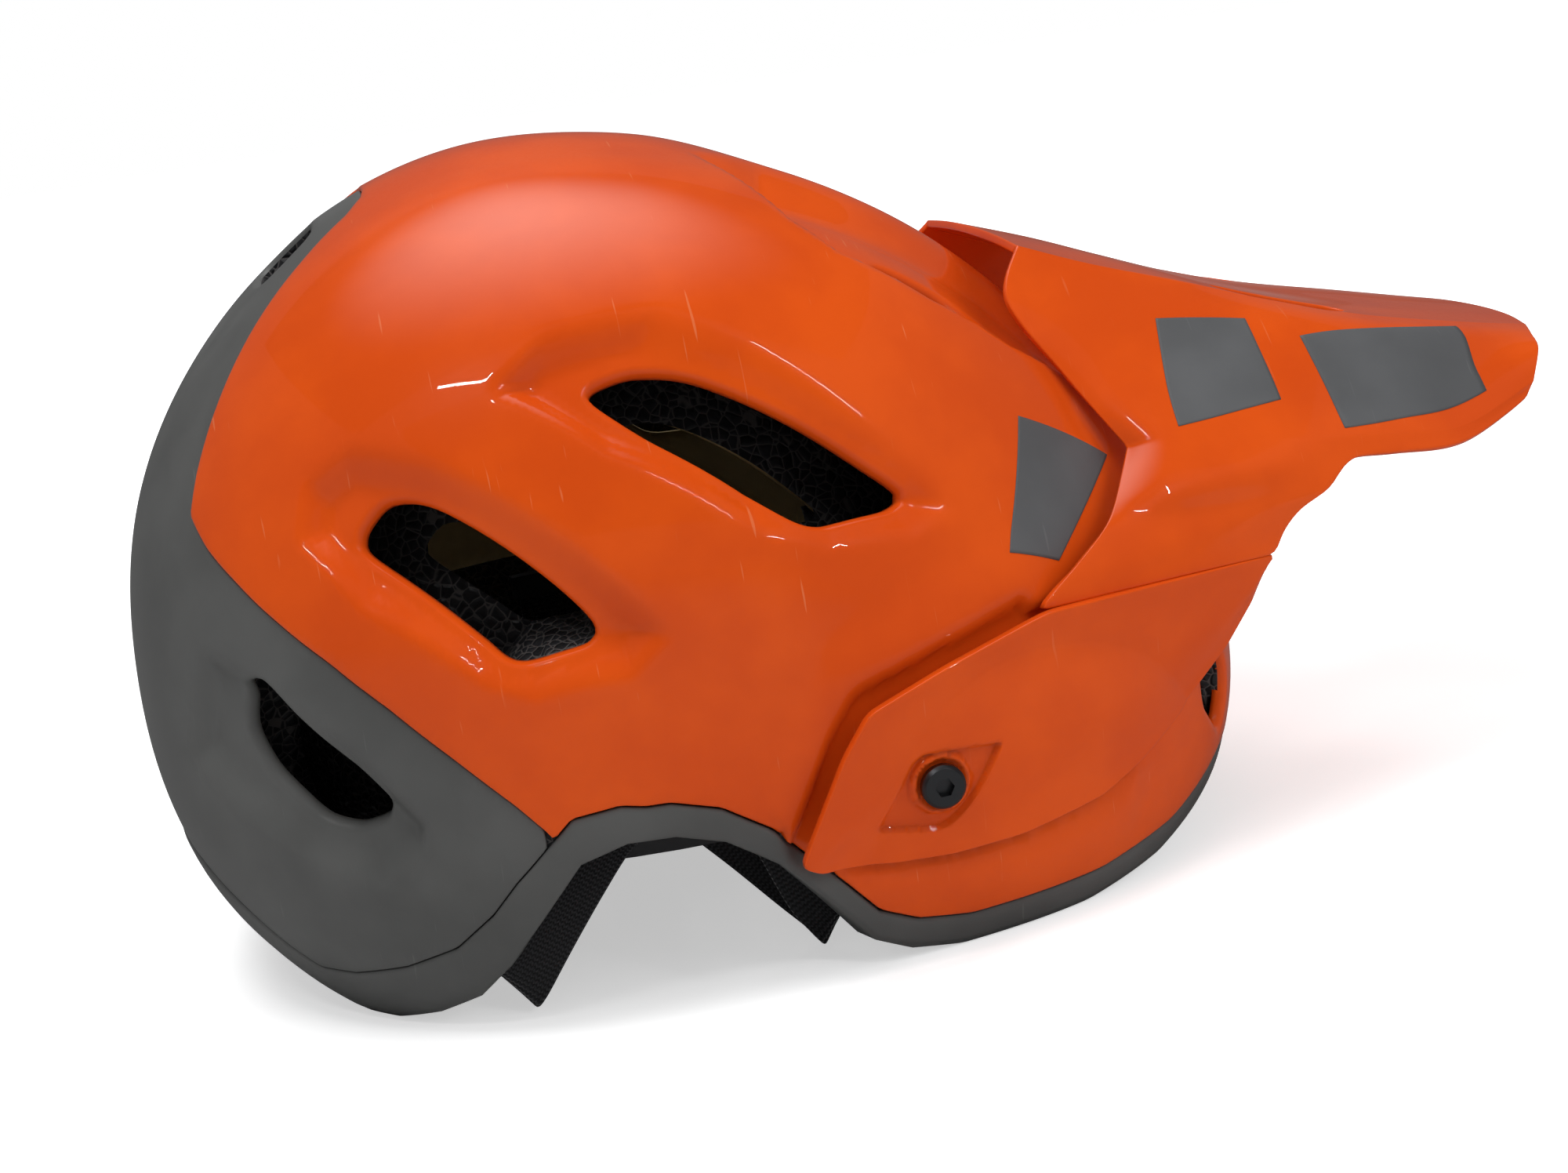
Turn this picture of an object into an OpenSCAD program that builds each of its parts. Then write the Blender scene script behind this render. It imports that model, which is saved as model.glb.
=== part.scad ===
// Trail bicycle helmet with a tilting visor, a dial-adjusted head band, a slip liner and a chin strap.
// It stands on a table on its four rim lobes. +X is forward, +Y is the wearer's left, +Z is up.
// The shell is drawn round the centre of the head: every shell point has a forward angle u and a
// leftward angle v from the crown, and a radius in millimetres along that direction.

/* [Shell] */
// Length of the shell from brow to nape
shell_l = 285; // [270:1:300]
// Width of the shell over the ears
shell_w = 214; // [204:1:224]
// Height of the crown above the centre of the head
crown_h = 112; // [106:1:118]
// Height of the centre of the head above the table
head_z = 86; // [84:1:90]
// Thickness of the orange upper shell
skin_t = 1.6; // [1.2:0.1:2]
// Thickness of the grey rear shell
rear_t = 0.8; // [0.6:0.1:1.2]
// Gap between the skins and the foam
skin_gap = 0.5; // [0.4:0.05:0.7]
// Gap along the seams between skins
seam = 0.5; // [0.3:0.1:0.8]
// Height of the arch over each ear
arch_h = 47; // [42:1:52]
// Height of the rim at the middle of the brow
brow_h = 20; // [16:1:24]
// Height of the rim at the middle of the nape
nape_h = 30; // [28:1:34]
// Height of the grey band at the arch
band_h = 8; // [6:0.5:10]
// Depth of the vent scoops
scoop_d = 5; // [3:0.5:6]
// Depth of the front channel under the visor
channel_d = 8; // [5:0.5:10]

/* [Foam] */
// Foam thickness at the sides
foam_side = 24; // [22:1:26]
// Foam thickness at the brow
foam_front = 36; // [33:1:38]
// Foam thickness over the crown
foam_top = 30; // [28:1:33]
// Foam thickness at the nape
foam_rear = 32; // [30:1:34]

/* [Slip liner and pads] */
// Gap between the foam and the slip liner
slip_gap = 1.5; // [1.4:0.1:2]
// Thickness of the slip liner
slip_t = 0.8; // [0.6:0.1:1]
// Thickness of the comfort pads
pad_t = 5; // [4:0.5:6]
// Height of the brow pad
brow_pad_h = 22; // [18:1:26]

/* [Visor] */
// Reach of the visor tip ahead of the centre of the head
visor_reach = 256; // [246:1:262]
// Thickness of the visor
visor_t = 2.2; // [1.8:0.1:2.6]
// Thickness of the side arms
arm_t = 3; // [2.4:0.2:3.4]
// Gap between a side arm and the shell
arm_gap = 2.6; // [2.2:0.1:3.4]
// Pivot screw, ahead of the centre of the head
pivot_x = 58; // [56:1:60]
// Height of the pivot screw above the table
pivot_z = 47; // [45:1:49]
// Diameter of the pivot screw's shank
screw_d = 5; // [4:0.5:5]
// Diameter of the pivot screw's head
screw_head_d = 10.5; // [9.5:0.5:11.5]
// Across flats of the hex socket
hex_af = 4; // [3:0.5:4.5]
// Radial clearance of the arm on the screw
pivot_fit = 0.08; // [0.05:0.01:0.1]
// Length of the two visor slots
slot_l = 30; // [24:1:34]
// Width of the two visor slots
slot_w = 14; // [10:1:16]

/* [Head band] */
// Height of the flexible side band
band_w = 12; // [10:1:13]
// Thickness of the flexible side band
band_t = 1.5; // [1.2:0.1:2]
// Diameter of the adjusting dial
dial_d = 26; // [22:1:26]
// Thickness of the adjusting dial
dial_t = 9; // [7:0.5:10]
// Diameter of the dial's shaft
shaft_d = 5; // [4:0.5:6]
// Radial clearance of the shaft in the housing
shaft_fit = 0.08; // [0.05:0.01:0.1]
// Pitch radius of the pinion
pinion_r = 4.5; // [4:0.5:5]
// Travel of each rack
rack_travel = 12; // [8:1:14]
// Travel of the cradle up the rail
cradle_travel = 8; // [4:1:8]

/* [Straps] */
// Width of the webbing
web_w = 18; // [15:1:20]
// Thickness of the webbing
web_t = 1.4; // [1:0.1:1.8]
// Travel that frees the buckle tongue
buckle_travel = 20; // [16:1:24]

/* [Hidden] */
$fn = 48;

// centre of the head, and the shift that puts the origin under the middle of the whole part
cx = 15;
C = [cx, 0, head_z];
tip_x = cx + visor_reach;
rear_x = cx - 121.02 * shell_l / 285;
ox = (tip_x + rear_x) / 2;
SC = [shell_l / 285, shell_w / 214, crown_h / 112];
// a guide point drawn on the helmet at its standard sizes, moved along with the shell
function tied(p) = [cx + (p[0] - cx) * SC[0], p[1] * SC[1], head_z + (p[2] - 86) * SC[2]];
// the same for a point inside the rim, whose height above the table is kept
function inside(p) = [cx + (p[0] - cx) * SC[0], p[1] * SC[1] - sign(p[1]) * (foam_side - 24), p[2]];

// radius of the middle profile every 20 degrees, from straight ahead over the crown and round below
PROFILE = [153, 132, 119, 111.5, 110, 112, 113.5, 115.5, 118.5, 120.5, 125, 128, 127, 128, 134, 148,
    164, 168];
// squareness of the section at the same angles
SQUARE = [2.45, 2.35, 2.35, 2.35, 2.35, 2.35, 2.35, 2.35, 2.35, 2.35, 2.35, 2.4, 2.55, 2.8, 3, 3, 3, 2.8];
HALF_W = 107;

function cr(a, b, c, d, f) =
  0.5 * (2 * b + (c - a) * f + (2 * a - 5 * b + 4 * c - d) * f * f + (3 * b - a - 3 * c + d) * f * f * f);
function knots(L, th) =
  let (t = (th + 720) / 20, i = floor(t), f = t - i, n = len(L))
  cr(L[(i - 1) % n], L[i % n], L[(i + 1) % n], L[(i + 2) % n], f);
function dirv(u, v) =
  let (r = norm([u, v]), k = r < 0.001 ? [0, 0] : [u, v] / r) [sin(r) * k[0], sin(r) * k[1], cos(r)];
function base_r(d) =
  let (s = norm([d[0], d[2]]), th = atan2(d[2], d[0]), n = knots(SQUARE, th))
  pow(pow(s / knots(PROFILE, th), n) + pow(abs(d[1]) / HALF_W, n), -1 / n);
function clamp(x, a = 0, b = 1) = max(a, min(b, x));
function smooth(x) = let (c = clamp(x)) c * c * (3 - 2 * c);
// depth inside a convex outline, which runs one way round, in shares of each edge's width in degrees
function inside_of(poly, p, w) =
  let (n = len(poly)) min([for (k = [0:n - 1])
    let (a = poly[k], b = poly[(k + 1) % n], e = b - a, l = norm(e))
    (e[0] * (p[1] - a[1]) - e[1] * (p[0] - a[0])) / (l * (is_list(w) ? w[k] : w))]);

// vent outlines on the wearer's right, as angles: holes and the scoops round them
V1_HOLE = [[-4.5, -55.8], [4, -62.7], [24, -72.3], [29, -72.3], [40, -67.4], [43, -64.6], [34.7, -62.7],
    [11, -55], [3, -54.2]];
V1_REC = [[-16, -53], [-2, -65], [20, -75], [30, -75], [43, -70], [50, -63.5], [18, -50.5], [9, -47.5],
    [-7, -48.5]];
V2_HOLE = [[-40, -57.5], [-41, -59.5], [-27.8, -81], [-24, -83.4], [-12.5, -84.8], [-10, -83],
    [-29, -60], [-35, -56.5]];
V2_REC = [[-47, -53], [-43, -66], [-31, -83], [-24, -88], [-6, -90.5], [3, -86], [-24.5, -57],
    [-34, -49], [-42, -48]];
V3_HOLE = [[-67, -54.5], [-73.5, -56], [-75, -62], [-73, -73], [-68, -79.5], [-61, -83.5], [-57, -82],
    [-61.5, -70], [-63, -58]];
V3_REC = [[-70, -44], [-85, -45], [-84, -58], [-78, -75], [-70, -87], [-57, -92], [-50, -89.5],
    [-56, -75], [-62, -53]];
FRONT_HOLE = [[42, -29], [45, -31], [60, -30.5], [64, -27.5], [54, -24.5], [44, -25]];
BROW_HOLE = [[88, -47], [93, -52], [101, -45], [98, -40], [94, -41]];
NAPE_HOLE = [[-30, -7], [-39, -9], [-39, 9], [-30, 7]];
// the trough beside the middle spine: steep under the outer crest, easing up to the spine
CHANNEL = [[19, -10], [28, -29], [34, -34], [46, -36], [58, -35], [68, -31], [92, -20], [92, -6], [60, -2],
    [30, -2]];
CHANNEL_W = [5, 3.5, 3.5, 3.5, 3.5, 4, 6, 8, 15, 12];

function flip(poly) = let (n = len(poly)) [for (k = [n - 1:-1:0]) [poly[k][0], -poly[k][1]]];
// how far the surface sinks or rises at an angle pair
function dip(poly, p, depth, w) = -depth * smooth(inside_of(poly, p, w));
function relief(u, v) =
  let (p = [u, -abs(v)])
  dip(V1_REC, p, scoop_d, 5) + dip(V2_REC, p, scoop_d, 5) + dip(V3_REC, p, scoop_d * 0.8, 5)
  + dip(CHANNEL, p, channel_d, CHANNEL_W)
  + 1.6 * smooth(1 - abs(v) / 16) * smooth((u + 40) / 12) * smooth((34 - u) / 20);
function onto(d, r, off) = let (q = [SC[0] * r * d[0], SC[1] * r * d[1], SC[2] * r * d[2]])
    C + q * (1 + off / norm(q));
// a point of the outer surface, and of the foam's inner surface, moved outwards by off
function out_pt(u, v, off = 0) = let (d = dirv(u, v)) onto(d, base_r(d) + relief(u, v), off);
function foam_t(d) =
  let (th = atan2(d[2], d[0]), w = d[1] * d[1],
    f = d[0] > 0 ? foam_front : foam_rear, k = pow(abs(cos(th)), 2), t = f * k + foam_top * (1 - k))
  foam_side * w + t * (1 - w);
function in_pt(u, v, off = 0) = let (d = dirv(u, v)) onto(d, base_r(d), off - foam_t(d));
function pol(ph, rho) = [rho * cos(ph), rho * sin(ph)];
function opt(ph, rho, off = 0) = let (a = pol(ph, rho)) out_pt(a[0], a[1], off);
function ipt(ph, rho, off = 0) = let (a = pol(ph, rho)) in_pt(a[0], a[1], off);
// the angle from the crown at which a surface passes a height
function solve_o(ph, h, off, a = 55, b = 146, k = 15) =
  k == 0 ? (a + b) / 2 : let (m = (a + b) / 2) opt(ph, m, off)[2] > h ? solve_o(ph, h, off, m, b, k - 1)
    : solve_o(ph, h, off, a, m, k - 1);
function solve_i(ph, h, off, a = 40, b = 150, k = 15) =
  k == 0 ? (a + b) / 2 : let (m = (a + b) / 2) ipt(ph, m, off)[2] > h ? solve_i(ph, h, off, m, b, k - 1)
    : solve_i(ph, h, off, a, m, k - 1);

// heights of the rim's lower edge and of the band's upper edge round the helmet
function rim_h(a) = lookup(abs(a), [[0, brow_h], [14, brow_h - 2], [24, brow_h * 0.6], [32, 3.5],
    [41.5, 0], [48, 0], [56.5, 0],
  [63, arch_h * 0.06], [68, arch_h * 0.17], [74, arch_h * 0.46], [80, arch_h * 0.74],
    [86, arch_h * 0.91], [92, arch_h * 0.99],
  [98, arch_h], [104, arch_h * 0.93], [110, arch_h * 0.66], [116, arch_h * 0.4], [122, arch_h * 0.21],
    [130, 4], [139, 0],
  [145.5, 0], [149.5, nape_h * 0.2], [155, nape_h * 0.53], [162, nape_h * 0.83], [170, nape_h * 0.97],
    [180, nape_h]]);
function band_at(a) = rim_h(a) + lookup(abs(a),
    [[0, band_h + 2], [40, band_h], [60, band_h], [95, band_h], [112, band_h + 6], [140, band_h + 8],
    [180, band_h + 6]]);
function bevel_at(a) = lookup(abs(a), [[0, 8], [30, 5], [56, 5], [66, 14], [80, 14], [92, 8], [104, 14],
    [112, 18], [124, 18], [136, 8], [142, 5], [160, 12], [180, 14]]);
// the line between the orange and the grey behind the ear, as an angle from the crown
function split_at(a) = lookup(abs(a), [[107, 107], [110, 103], [116, 96], [122, 89.5], [128, 84],
    [134, 79.5], [140, 75.2], [145, 72],
  [149.5, 68.5], [151.5, 52], [153.5, 37], [157, 27], [163, 23.6], [171, 22.3], [180, 22]]);

HALF = [0, 7, 14, 21, 28, 35, 42, 49, 56, 62, 68, 74, 80, 86, 92, 98, 104, 107, 110, 116, 122, 128, 134,
    140, 145, 149.5, 151.5, 153.5, 157, 163, 171, 180];
NH = len(HALF);
PHI = concat(HALF, [for (k = [NH - 2:-1:1]) -HALF[k]]);
REAR = [for (a = HALF) if (a > 106) a];
PHR = concat(REAR, [for (k = [len(REAR) - 2:-1:0]) 360 - REAR[k]]);

module at() translate([-ox, 0, 0]) children();
module both(left) if (left) at() children(); else at() mirror([0, 1, 0]) children();

// closed solid between two grids of points with the same rows and columns
module slab(A, B, wrap = false) {
  n = len(A);
  m = len(A[0]);
  P = concat([for (r = A) for (p = r) p], [for (r = B) for (p = r) p]);
  o = n * m;
  J = wrap ? m : m - 1;
  F = concat(
    [for (i = [0:n - 2]) for (j = [0:J - 1])
      let (k = (j + 1) % m, a = i * m + j, b = i * m + k, c = a + m, d = b + m)
      each [[a, c, d], [a, d, b]]],
    [for (i = [0:n - 2]) for (j = [0:J - 1])
      let (k = (j + 1) % m, a = o + i * m + j, b = o + i * m + k, c = a + m, d = b + m)
      each [[a, d, c], [a, b, d]]],
    [for (j = [0:J - 1]) let (k = (j + 1) % m) each [[j, k, o + k], [j, o + k, o + j]]],
    [for (j = [0:J - 1]) let (k = (j + 1) % m, e = (n - 1) * m)
      each [[e + j, o + e + k, e + k], [e + j, o + e + j, o + e + k]]],
    wrap ? [] : [for (i = [0:n - 2]) let (a = i * m, c = a + m) each [[a, o + a, o + c], [a, o + c, c]]],
    wrap ? [] : [for (i = [0:n - 2]) let (a = i * m + m - 1, c = a + m)
      each [[a, c, o + c], [a, o + c, o + a]]]);
  polyhedron(P, F, convexity = 10);
}
// closed cap: an apex over rings of points, outside and inside
module cap(A, B, ta, tb) {
  n = len(A);
  nb = len(B);
  m = len(A[0]);
  P = concat([for (r = A) for (p = r) p], [for (r = B) for (p = r) p], [ta, tb]);
  o = n * m;
  e = (n - 1) * m;
  g = o + (nb - 1) * m;
  q = len(P);
  F = concat(
    [for (i = [0:n - 2]) for (j = [0:m - 1])
      let (k = (j + 1) % m, a = i * m + j, b = i * m + k, c = a + m, d = b + m)
      each [[a, d, c], [a, b, d]]],
    [for (i = [0:nb - 2]) for (j = [0:m - 1])
      let (k = (j + 1) % m, a = o + i * m + j, b = o + i * m + k, c = a + m, d = b + m)
      each [[a, c, d], [a, d, b]]],
    [for (j = [0:m - 1]) let (k = (j + 1) % m) [q - 2, k, j]],
    [for (j = [0:m - 1]) let (k = (j + 1) % m) [q - 1, o + j, o + k]],
    [for (j = [0:m - 1]) let (k = (j + 1) % m) each [[e + j, e + k, g + k], [e + j, g + k, g + j]]]);
  polyhedron(P, F, convexity = 10);
}
// a ring of sections: closed round when wrap is set, with flat ends otherwise
module sweep(R, wrap = false) {
  n = len(R);
  m = len(R[0]);
  P = [for (r = R) for (p = r) p];
  I = wrap ? n : n - 1;
  F = concat(
    [for (i = [0:I - 1]) for (j = [0:m - 1])
      let (k = (j + 1) % m, s = ((i + 1) % n) * m, a = i * m + j, b = i * m + k, c = s + j, d = s + k)
      each [[a, b, d], [a, d, c]]],
    wrap ? [] : [[for (j = [m - 1:-1:0]) j]],
    wrap ? [] : [[for (j = [0:m - 1]) (n - 1) * m + j]]);
  polyhedron(P, F, convexity = 10);
}
// flat strap section at a point: width along w, thickness along t
function flat(p, w, t, ww, tt) = [p + w * ww / 2 + t * tt / 2, p + w * ww / 2 - t * tt / 2,
    p - w * ww / 2 - t * tt / 2, p - w * ww / 2 + t * tt / 2];
function unit(a) = a / norm(a);
// strap through points, lying with its width along the given direction as far as the route lets it
function strap_rings(P, W, room = 0) =
  let (n = len(P)) [for (i = [0:n - 1])
    let (d = unit(P[min(n - 1, i + 1)] - P[max(0, i - 1)]), w0 = W[i], w = unit(w0 - d * (w0 * d)),
      t = cross(d, w))
    flat(P[i], w, t, web_w + room, web_t + room)];
// smooth route through a few points
function route(P, k = 4) =
  let (n = len(P)) concat([for (i = [0:n - 2]) for (s = [0:k - 1])
    let (a = P[max(0, i - 1)], b = P[i], c = P[i + 1], d = P[min(n - 1, i + 2)]) cr(a, b, c, d, s / k)],
      [P[n - 1]]);

// a tapering vent channel cut between two depths, in slices
module vent(poly, o1, o2, shrink = 0.86, slices = 1) {
  n = len(poly);
  mid = [for (k = [0:1]) let (s = [for (p = poly) p[k]]) (min(s) + max(s)) / 2];
  for (s = [0:slices - 1]) {
    a = o1 + (o2 - o1) * s / slices;
    b = o1 + (o2 - o1) * (s + 1) / slices;
    ka = 1 + (shrink - 1) * s / slices;
    kb = 1 + (shrink - 1) * (s + 1) / slices;
    A = [for (p = poly) let (q = mid + (p - mid) * ka) onto(dirv(q[0], q[1]), base_r(dirv(q[0], q[1])), a)];
    B = [for (p = poly) let (q = mid + (p - mid) * kb) onto(dirv(q[0], q[1]), base_r(dirv(q[0], q[1])), b)];
    hull() polyhedron(concat(A, B), concat([[for (j = [0:n - 1]) j]], [[for (j = [n - 1:-1:0]) n + j]],
      [for (j = [0:n - 1]) let (k = (j + 1) % n) [j, n + j, n + k, k]]));
  }
}
module vents(list, o1, o2, shrink = 0.86, slices = 1)
  for (p = list) {
    vent(p, o1, o2, shrink, slices);
    vent(flip(p), o1, o2, shrink, slices);
  }

NR = 13;
NB = 7;
// where the orange skin ends round the helmet, and where the grey rear skin begins and ends behind the ears
function is_rear(a) = abs(a) > 106.9;
function top_end(a) = let (b = solve_o(a, band_at(a) + seam, skin_t / 2)) is_rear(a)
    ? min(b, split_at(a)) : b;
function rear_end(a) = let (t = split_at(a)) max(solve_o(a, band_at(a) + seam, 0), t + 0.6);
function top_row(a, t, i, off) = opt(a, t * i / NR, off);
module upper_shell() {
  top = [for (a = PHI) top_end(a) - (is_rear(a) ? seam / 4 : 0)];
  A = [for (i = [1:NR]) [for (j = [0:len(PHI) - 1]) top_row(PHI[j], top[j], i, skin_t / 2)]];
  B = [for (i = [1:NR]) [for (j = [0:len(PHI) - 1]) top_row(PHI[j], top[j], i, -skin_t / 2)]];
  color("darkorange") at() difference() {
    cap(A, B, opt(0, 0, skin_t / 2), opt(0, 0, -skin_t / 2));
    vents([V1_HOLE, V2_HOLE, FRONT_HOLE, BROW_HOLE], 12, -12 - channel_d, 1);
    visor_bores();
  }
}
module rear_shell() {
  lo = [for (a = PHR) rear_end(a > 180 ? 360 - a : a)];
  hi = [for (a = PHR) split_at(a > 180 ? 360 - a : a) + seam / 4];
  A = [for (i = [0:NB]) [for (j = [0:len(PHR) - 1])
    opt(PHR[j], hi[j] + (lo[j] - hi[j]) * i / NB, rear_t - skin_t / 2)]];
  B = [for (i = [0:NB]) [for (j = [0:len(PHR) - 1])
    opt(PHR[j], hi[j] + (lo[j] - hi[j]) * i / NB, -skin_t / 2)]];
  color("dimgray") at() difference() {
    slab(B, A);
    vents([V3_HOLE], 10, -14, 1, 4);
    vent(NAPE_HOLE, 8, -8, 1);
  }
}
RIM_IN = 9;
module rim_trim() {
  lip = rear_t + 0.9;
  R = [for (a = PHI)
    let (ph = a, h = rim_h(a), rt = solve_o(a, band_at(a), 0.5), rb = solve_o(a, h, 0.5),
      rc = solve_o(a, h + lip, -skin_t / 2),
      p = opt(ph, rb, 0.5), q = opt(ph, rc, -skin_t / 2), s = [cos(a), sin(a), 0])
    [opt(ph, rt, -skin_t / 2), opt(ph, (rt + rc) / 2, -skin_t / 2), q, [p[0], p[1], h + lip] - s * RIM_IN,
      [p[0], p[1], h] - s * RIM_IN, [p[0], p[1], h], opt(ph, (rt + rb) / 2, 0.7), opt(ph, rt, 0.5)]];
  color("dimgray") at() sweep(R, true);
}
module eps_liner() {
  n2 = 10;
  o = -skin_t / 2 - skin_gap;
  t0 = [for (a = PHI) top_end(a)];
  t1 = [for (j = [0:len(PHI) - 1]) is_rear(PHI[j]) ? rear_end(PHI[j]) : t0[j] + 1.5];
  t2 = [for (j = [0:len(PHI) - 1]) max(solve_o(PHI[j], rim_h(PHI[j]) + rear_t + 1.2, o), t1[j] + 1)];
  ri = [for (a = PHI) solve_i(a, rim_h(a) + rear_t + 1.2 + bevel_at(a), 0)];
  A = concat([for (i = [1:NR]) [for (j = [0:len(PHI) - 1]) top_row(PHI[j], t0[j], i, o)]],
    [for (i = [1:NB]) [for (j = [0:len(PHI) - 1]) opt(PHI[j], t0[j] + (t1[j] - t0[j]) * i / NB, o)]],
    [for (i = [1:2]) [for (j = [0:len(PHI) - 1]) opt(PHI[j], t1[j] + (t2[j] - t1[j]) * i / 2, o)]]);
  B = [for (i = [1:n2]) [for (j = [0:len(PHI) - 1]) ipt(PHI[j], ri[j] * i / n2)]];
  color([0.12, 0.12, 0.13]) at() difference() {
    cap(A, B, opt(0, 0, o), ipt(0, 0));
    vents([V1_HOLE, V2_HOLE, V3_HOLE, FRONT_HOLE, BROW_HOLE], 12, -50, 0.8);
    vent(NAPE_HOLE, 12, -50, 0.8);
    visor_bores();
    strap_channels();
  }
}

// where each pivot screw stands: straight out along Y from the shell's side
PIV = [cx + pivot_x, 0, pivot_z];
// the shell's side seen along Y: half width of the outer surface at a point ahead of and above the centre
function side_y(x, z) =
  let (dx = (x - cx) / SC[0], dz = (z - head_z) / SC[2], th = atan2(dz, dx), n = knots(SQUARE, th),
    s = norm([dx, dz]) / knots(PROFILE, th))
  SC[1] * HALF_W * pow(max(0.02, 1 - pow(s, n)), 1 / n);
PIV_Y = side_y(PIV[0], PIV[2]);
boss_d = 19;
insert_d = 9;
insert_l = 13;
module visor_bores()
  for (s = [-1, 1]) translate([PIV[0], s * (PIV_Y - insert_l - 1), PIV[2]]) rotate([-90 * s, 0, 0])
    cylinder(d = insert_d + 0.4, h = 40);
module visor_insert(left) color([0.72, 0.6, 0.32]) both(left)
  translate([PIV[0], PIV_Y - insert_l, PIV[2]]) rotate([-90, 0, 0]) difference() {
    union() {
      cylinder(d = insert_d, h = insert_l + arm_gap - 0.8);
      for (k = [0:2]) translate([0, 0, 1.5 + 3.5 * k]) cylinder(d = insert_d + 0.3, h = 1.6);
    }
    translate([0, 0, 1]) cylinder(d = screw_d, h = 60);
  }
module visor_insert_left() visor_insert(true);
module visor_insert_right() visor_insert(false);
module visor_screw(left) color([0.3, 0.3, 0.32]) both(left)
  translate([PIV[0], PIV_Y - insert_l + 2, PIV[2]]) rotate([-90, 0, 0]) difference() {
    union() {
      cylinder(d = screw_d, h = insert_l - 2 + arm_gap + arm_t + 0.3);
      translate([0, 0, insert_l - 2 + arm_gap + arm_t + 0.3]) cylinder(d = screw_head_d, h = 1.6);
      translate([0, 0, insert_l - 2 + arm_gap + arm_t + 1.9])
        cylinder(d1 = screw_head_d, d2 = screw_head_d - 1.6, h = 0.8);
    }
    translate([0, 0, insert_l + arm_gap + arm_t - 1]) cylinder(d = hex_af / cos(30), h = 8, $fn = 6);
  }
module visor_screw_left() visor_screw(true);
module visor_screw_right() visor_screw(false);

// the side arm, drawn on the left: a plate that hugs the shell behind the screw and runs straight on
// ahead of it
function arm_y(x, z) =
  max(side_y(x, z) + arm_gap, SC[1] * (101 - 0.3 * ((x - cx) / SC[0] - 90) - 0.2 * (79 - z)));
function arm_z(x, knots) = head_z + (lookup((x - cx) / SC[0], knots) - 86) * SC[2];
ARM_TOP = [[22.6, 37.5], [35, 60], [42, 69], [62, 74.5], [85, 79.5], [90, 80.4], [153.6, 77.4]];
ARM_LOW = [[22.6, 36], [27, 33], [45, 29.5], [60, 28], [78, 28], [100, 31], [112, 36], [126, 43.5],
    [140, 56], [148, 66], [153.6, 76.6]];
ARM_X = [for (x = [22.6, 28, 35, 42, 52, 62, 73, 85, 96, 106, 116, 126, 136, 146, 153.6]) cx + x * SC[0]];
ARM_N = 5;
function arm_row(i, off) = [for (x = ARM_X)
  let (a = arm_z(x, ARM_LOW), z = a + (arm_z(x, ARM_TOP) - a) * i / ARM_N) [x, arm_y(x, z) + off, z]];
module visor_arm(left) color("darkorange") both(left) difference() {
  union() {
    slab([for (i = [0:ARM_N]) arm_row(i, 0)], [for (i = [0:ARM_N]) arm_row(i, arm_t)]);
    translate([PIV[0], PIV_Y + arm_gap, PIV[2]]) rotate([-90, 0, 0]) cylinder(d = boss_d, h = arm_t);
  }
  translate([PIV[0], PIV_Y - 5, PIV[2]]) rotate([-90, 0, 0]) cylinder(r = screw_d / 2 + pivot_fit, h = 30);
  translate([PIV[0], PIV_Y + arm_gap + arm_t, PIV[2]]) rotate([-90, 0, 0])
    cylinder(d = screw_head_d + 4, h = 10);
}
module visor_arm_left() visor_arm(true);
module visor_arm_right() visor_arm(false);

// the visor on the left half, from the middle outwards: each guide runs from the rear edge to the front edge
VG = [
  [[127, 0, 157.5], [146, 0, 150.5], [166, 0, 142], [190, 0, 132], [216, 0, 123.5], [246, 0, 116.5],
    [271, 0, 111]],
  [[127, 22, 157], [146, 22, 150], [167, 22, 141.5], [191, 22, 131.8], [217, 22, 123.3],
    [246, 21, 116.3], [269.6, 18, 111]],
  [[127, 41, 155.8], [145, 42, 148.2], [168, 42, 140], [192, 43, 131], [217, 42, 122.8],
    [245, 40, 115.8], [266, 34, 110.8]],
  [[120, 50.5, 144.3], [143, 51.5, 138.8], [167, 52, 133.4], [190, 53, 127.4], [214, 53, 120.4],
    [240, 50, 114], [262.5, 43, 110.2]],
  [[129, 61.8, 125.4], [143, 66, 122], [166, 66, 118.3], [190, 65.5, 114], [212, 62.5, 109.3],
    [234, 58, 105.5], [259, 52.5, 108]],
  [[138.5, 73.5, 108], [146, 78, 109.2], [164, 78, 105.6], [190, 75.5, 101.2], [211, 71, 97.6],
    [230, 66.5, 95.4], [254.5, 57.5, 101]],
  [[129.5, 86, 97.8], [143, 86.5, 99.5], [161, 84, 99], [187, 78, 96.8], [208, 73.5, 93.8],
    [229, 68.5, 92], [251.5, 59.5, 97.5]],
];
VK = 3;
function vrow(g) = route(g, VK);
VR = [for (g = VG) vrow(g)];
VN = len(VR[0]);
VFULL = concat([for (k = [len(VR) - 1:-1:1]) [for (p = VR[k]) [p[0], -p[1], p[2]]]], VR);
function shift_x(q) = let (p = tied(q), f = clamp((q[0] - 130) / 141))
    [p[0] + (tip_x - tied([271, 0, 0])[0]) * f, p[1], p[2]];
function vnorm(G, i, j) =
  let (n = len(G), m = len(G[0]), a = G[i][min(m - 1, j + 1)] - G[i][max(0, j - 1)],
    b = G[min(n - 1, i + 1)][j] - G[max(0, i - 1)][j])
  unit(cross(a, b));
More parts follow.
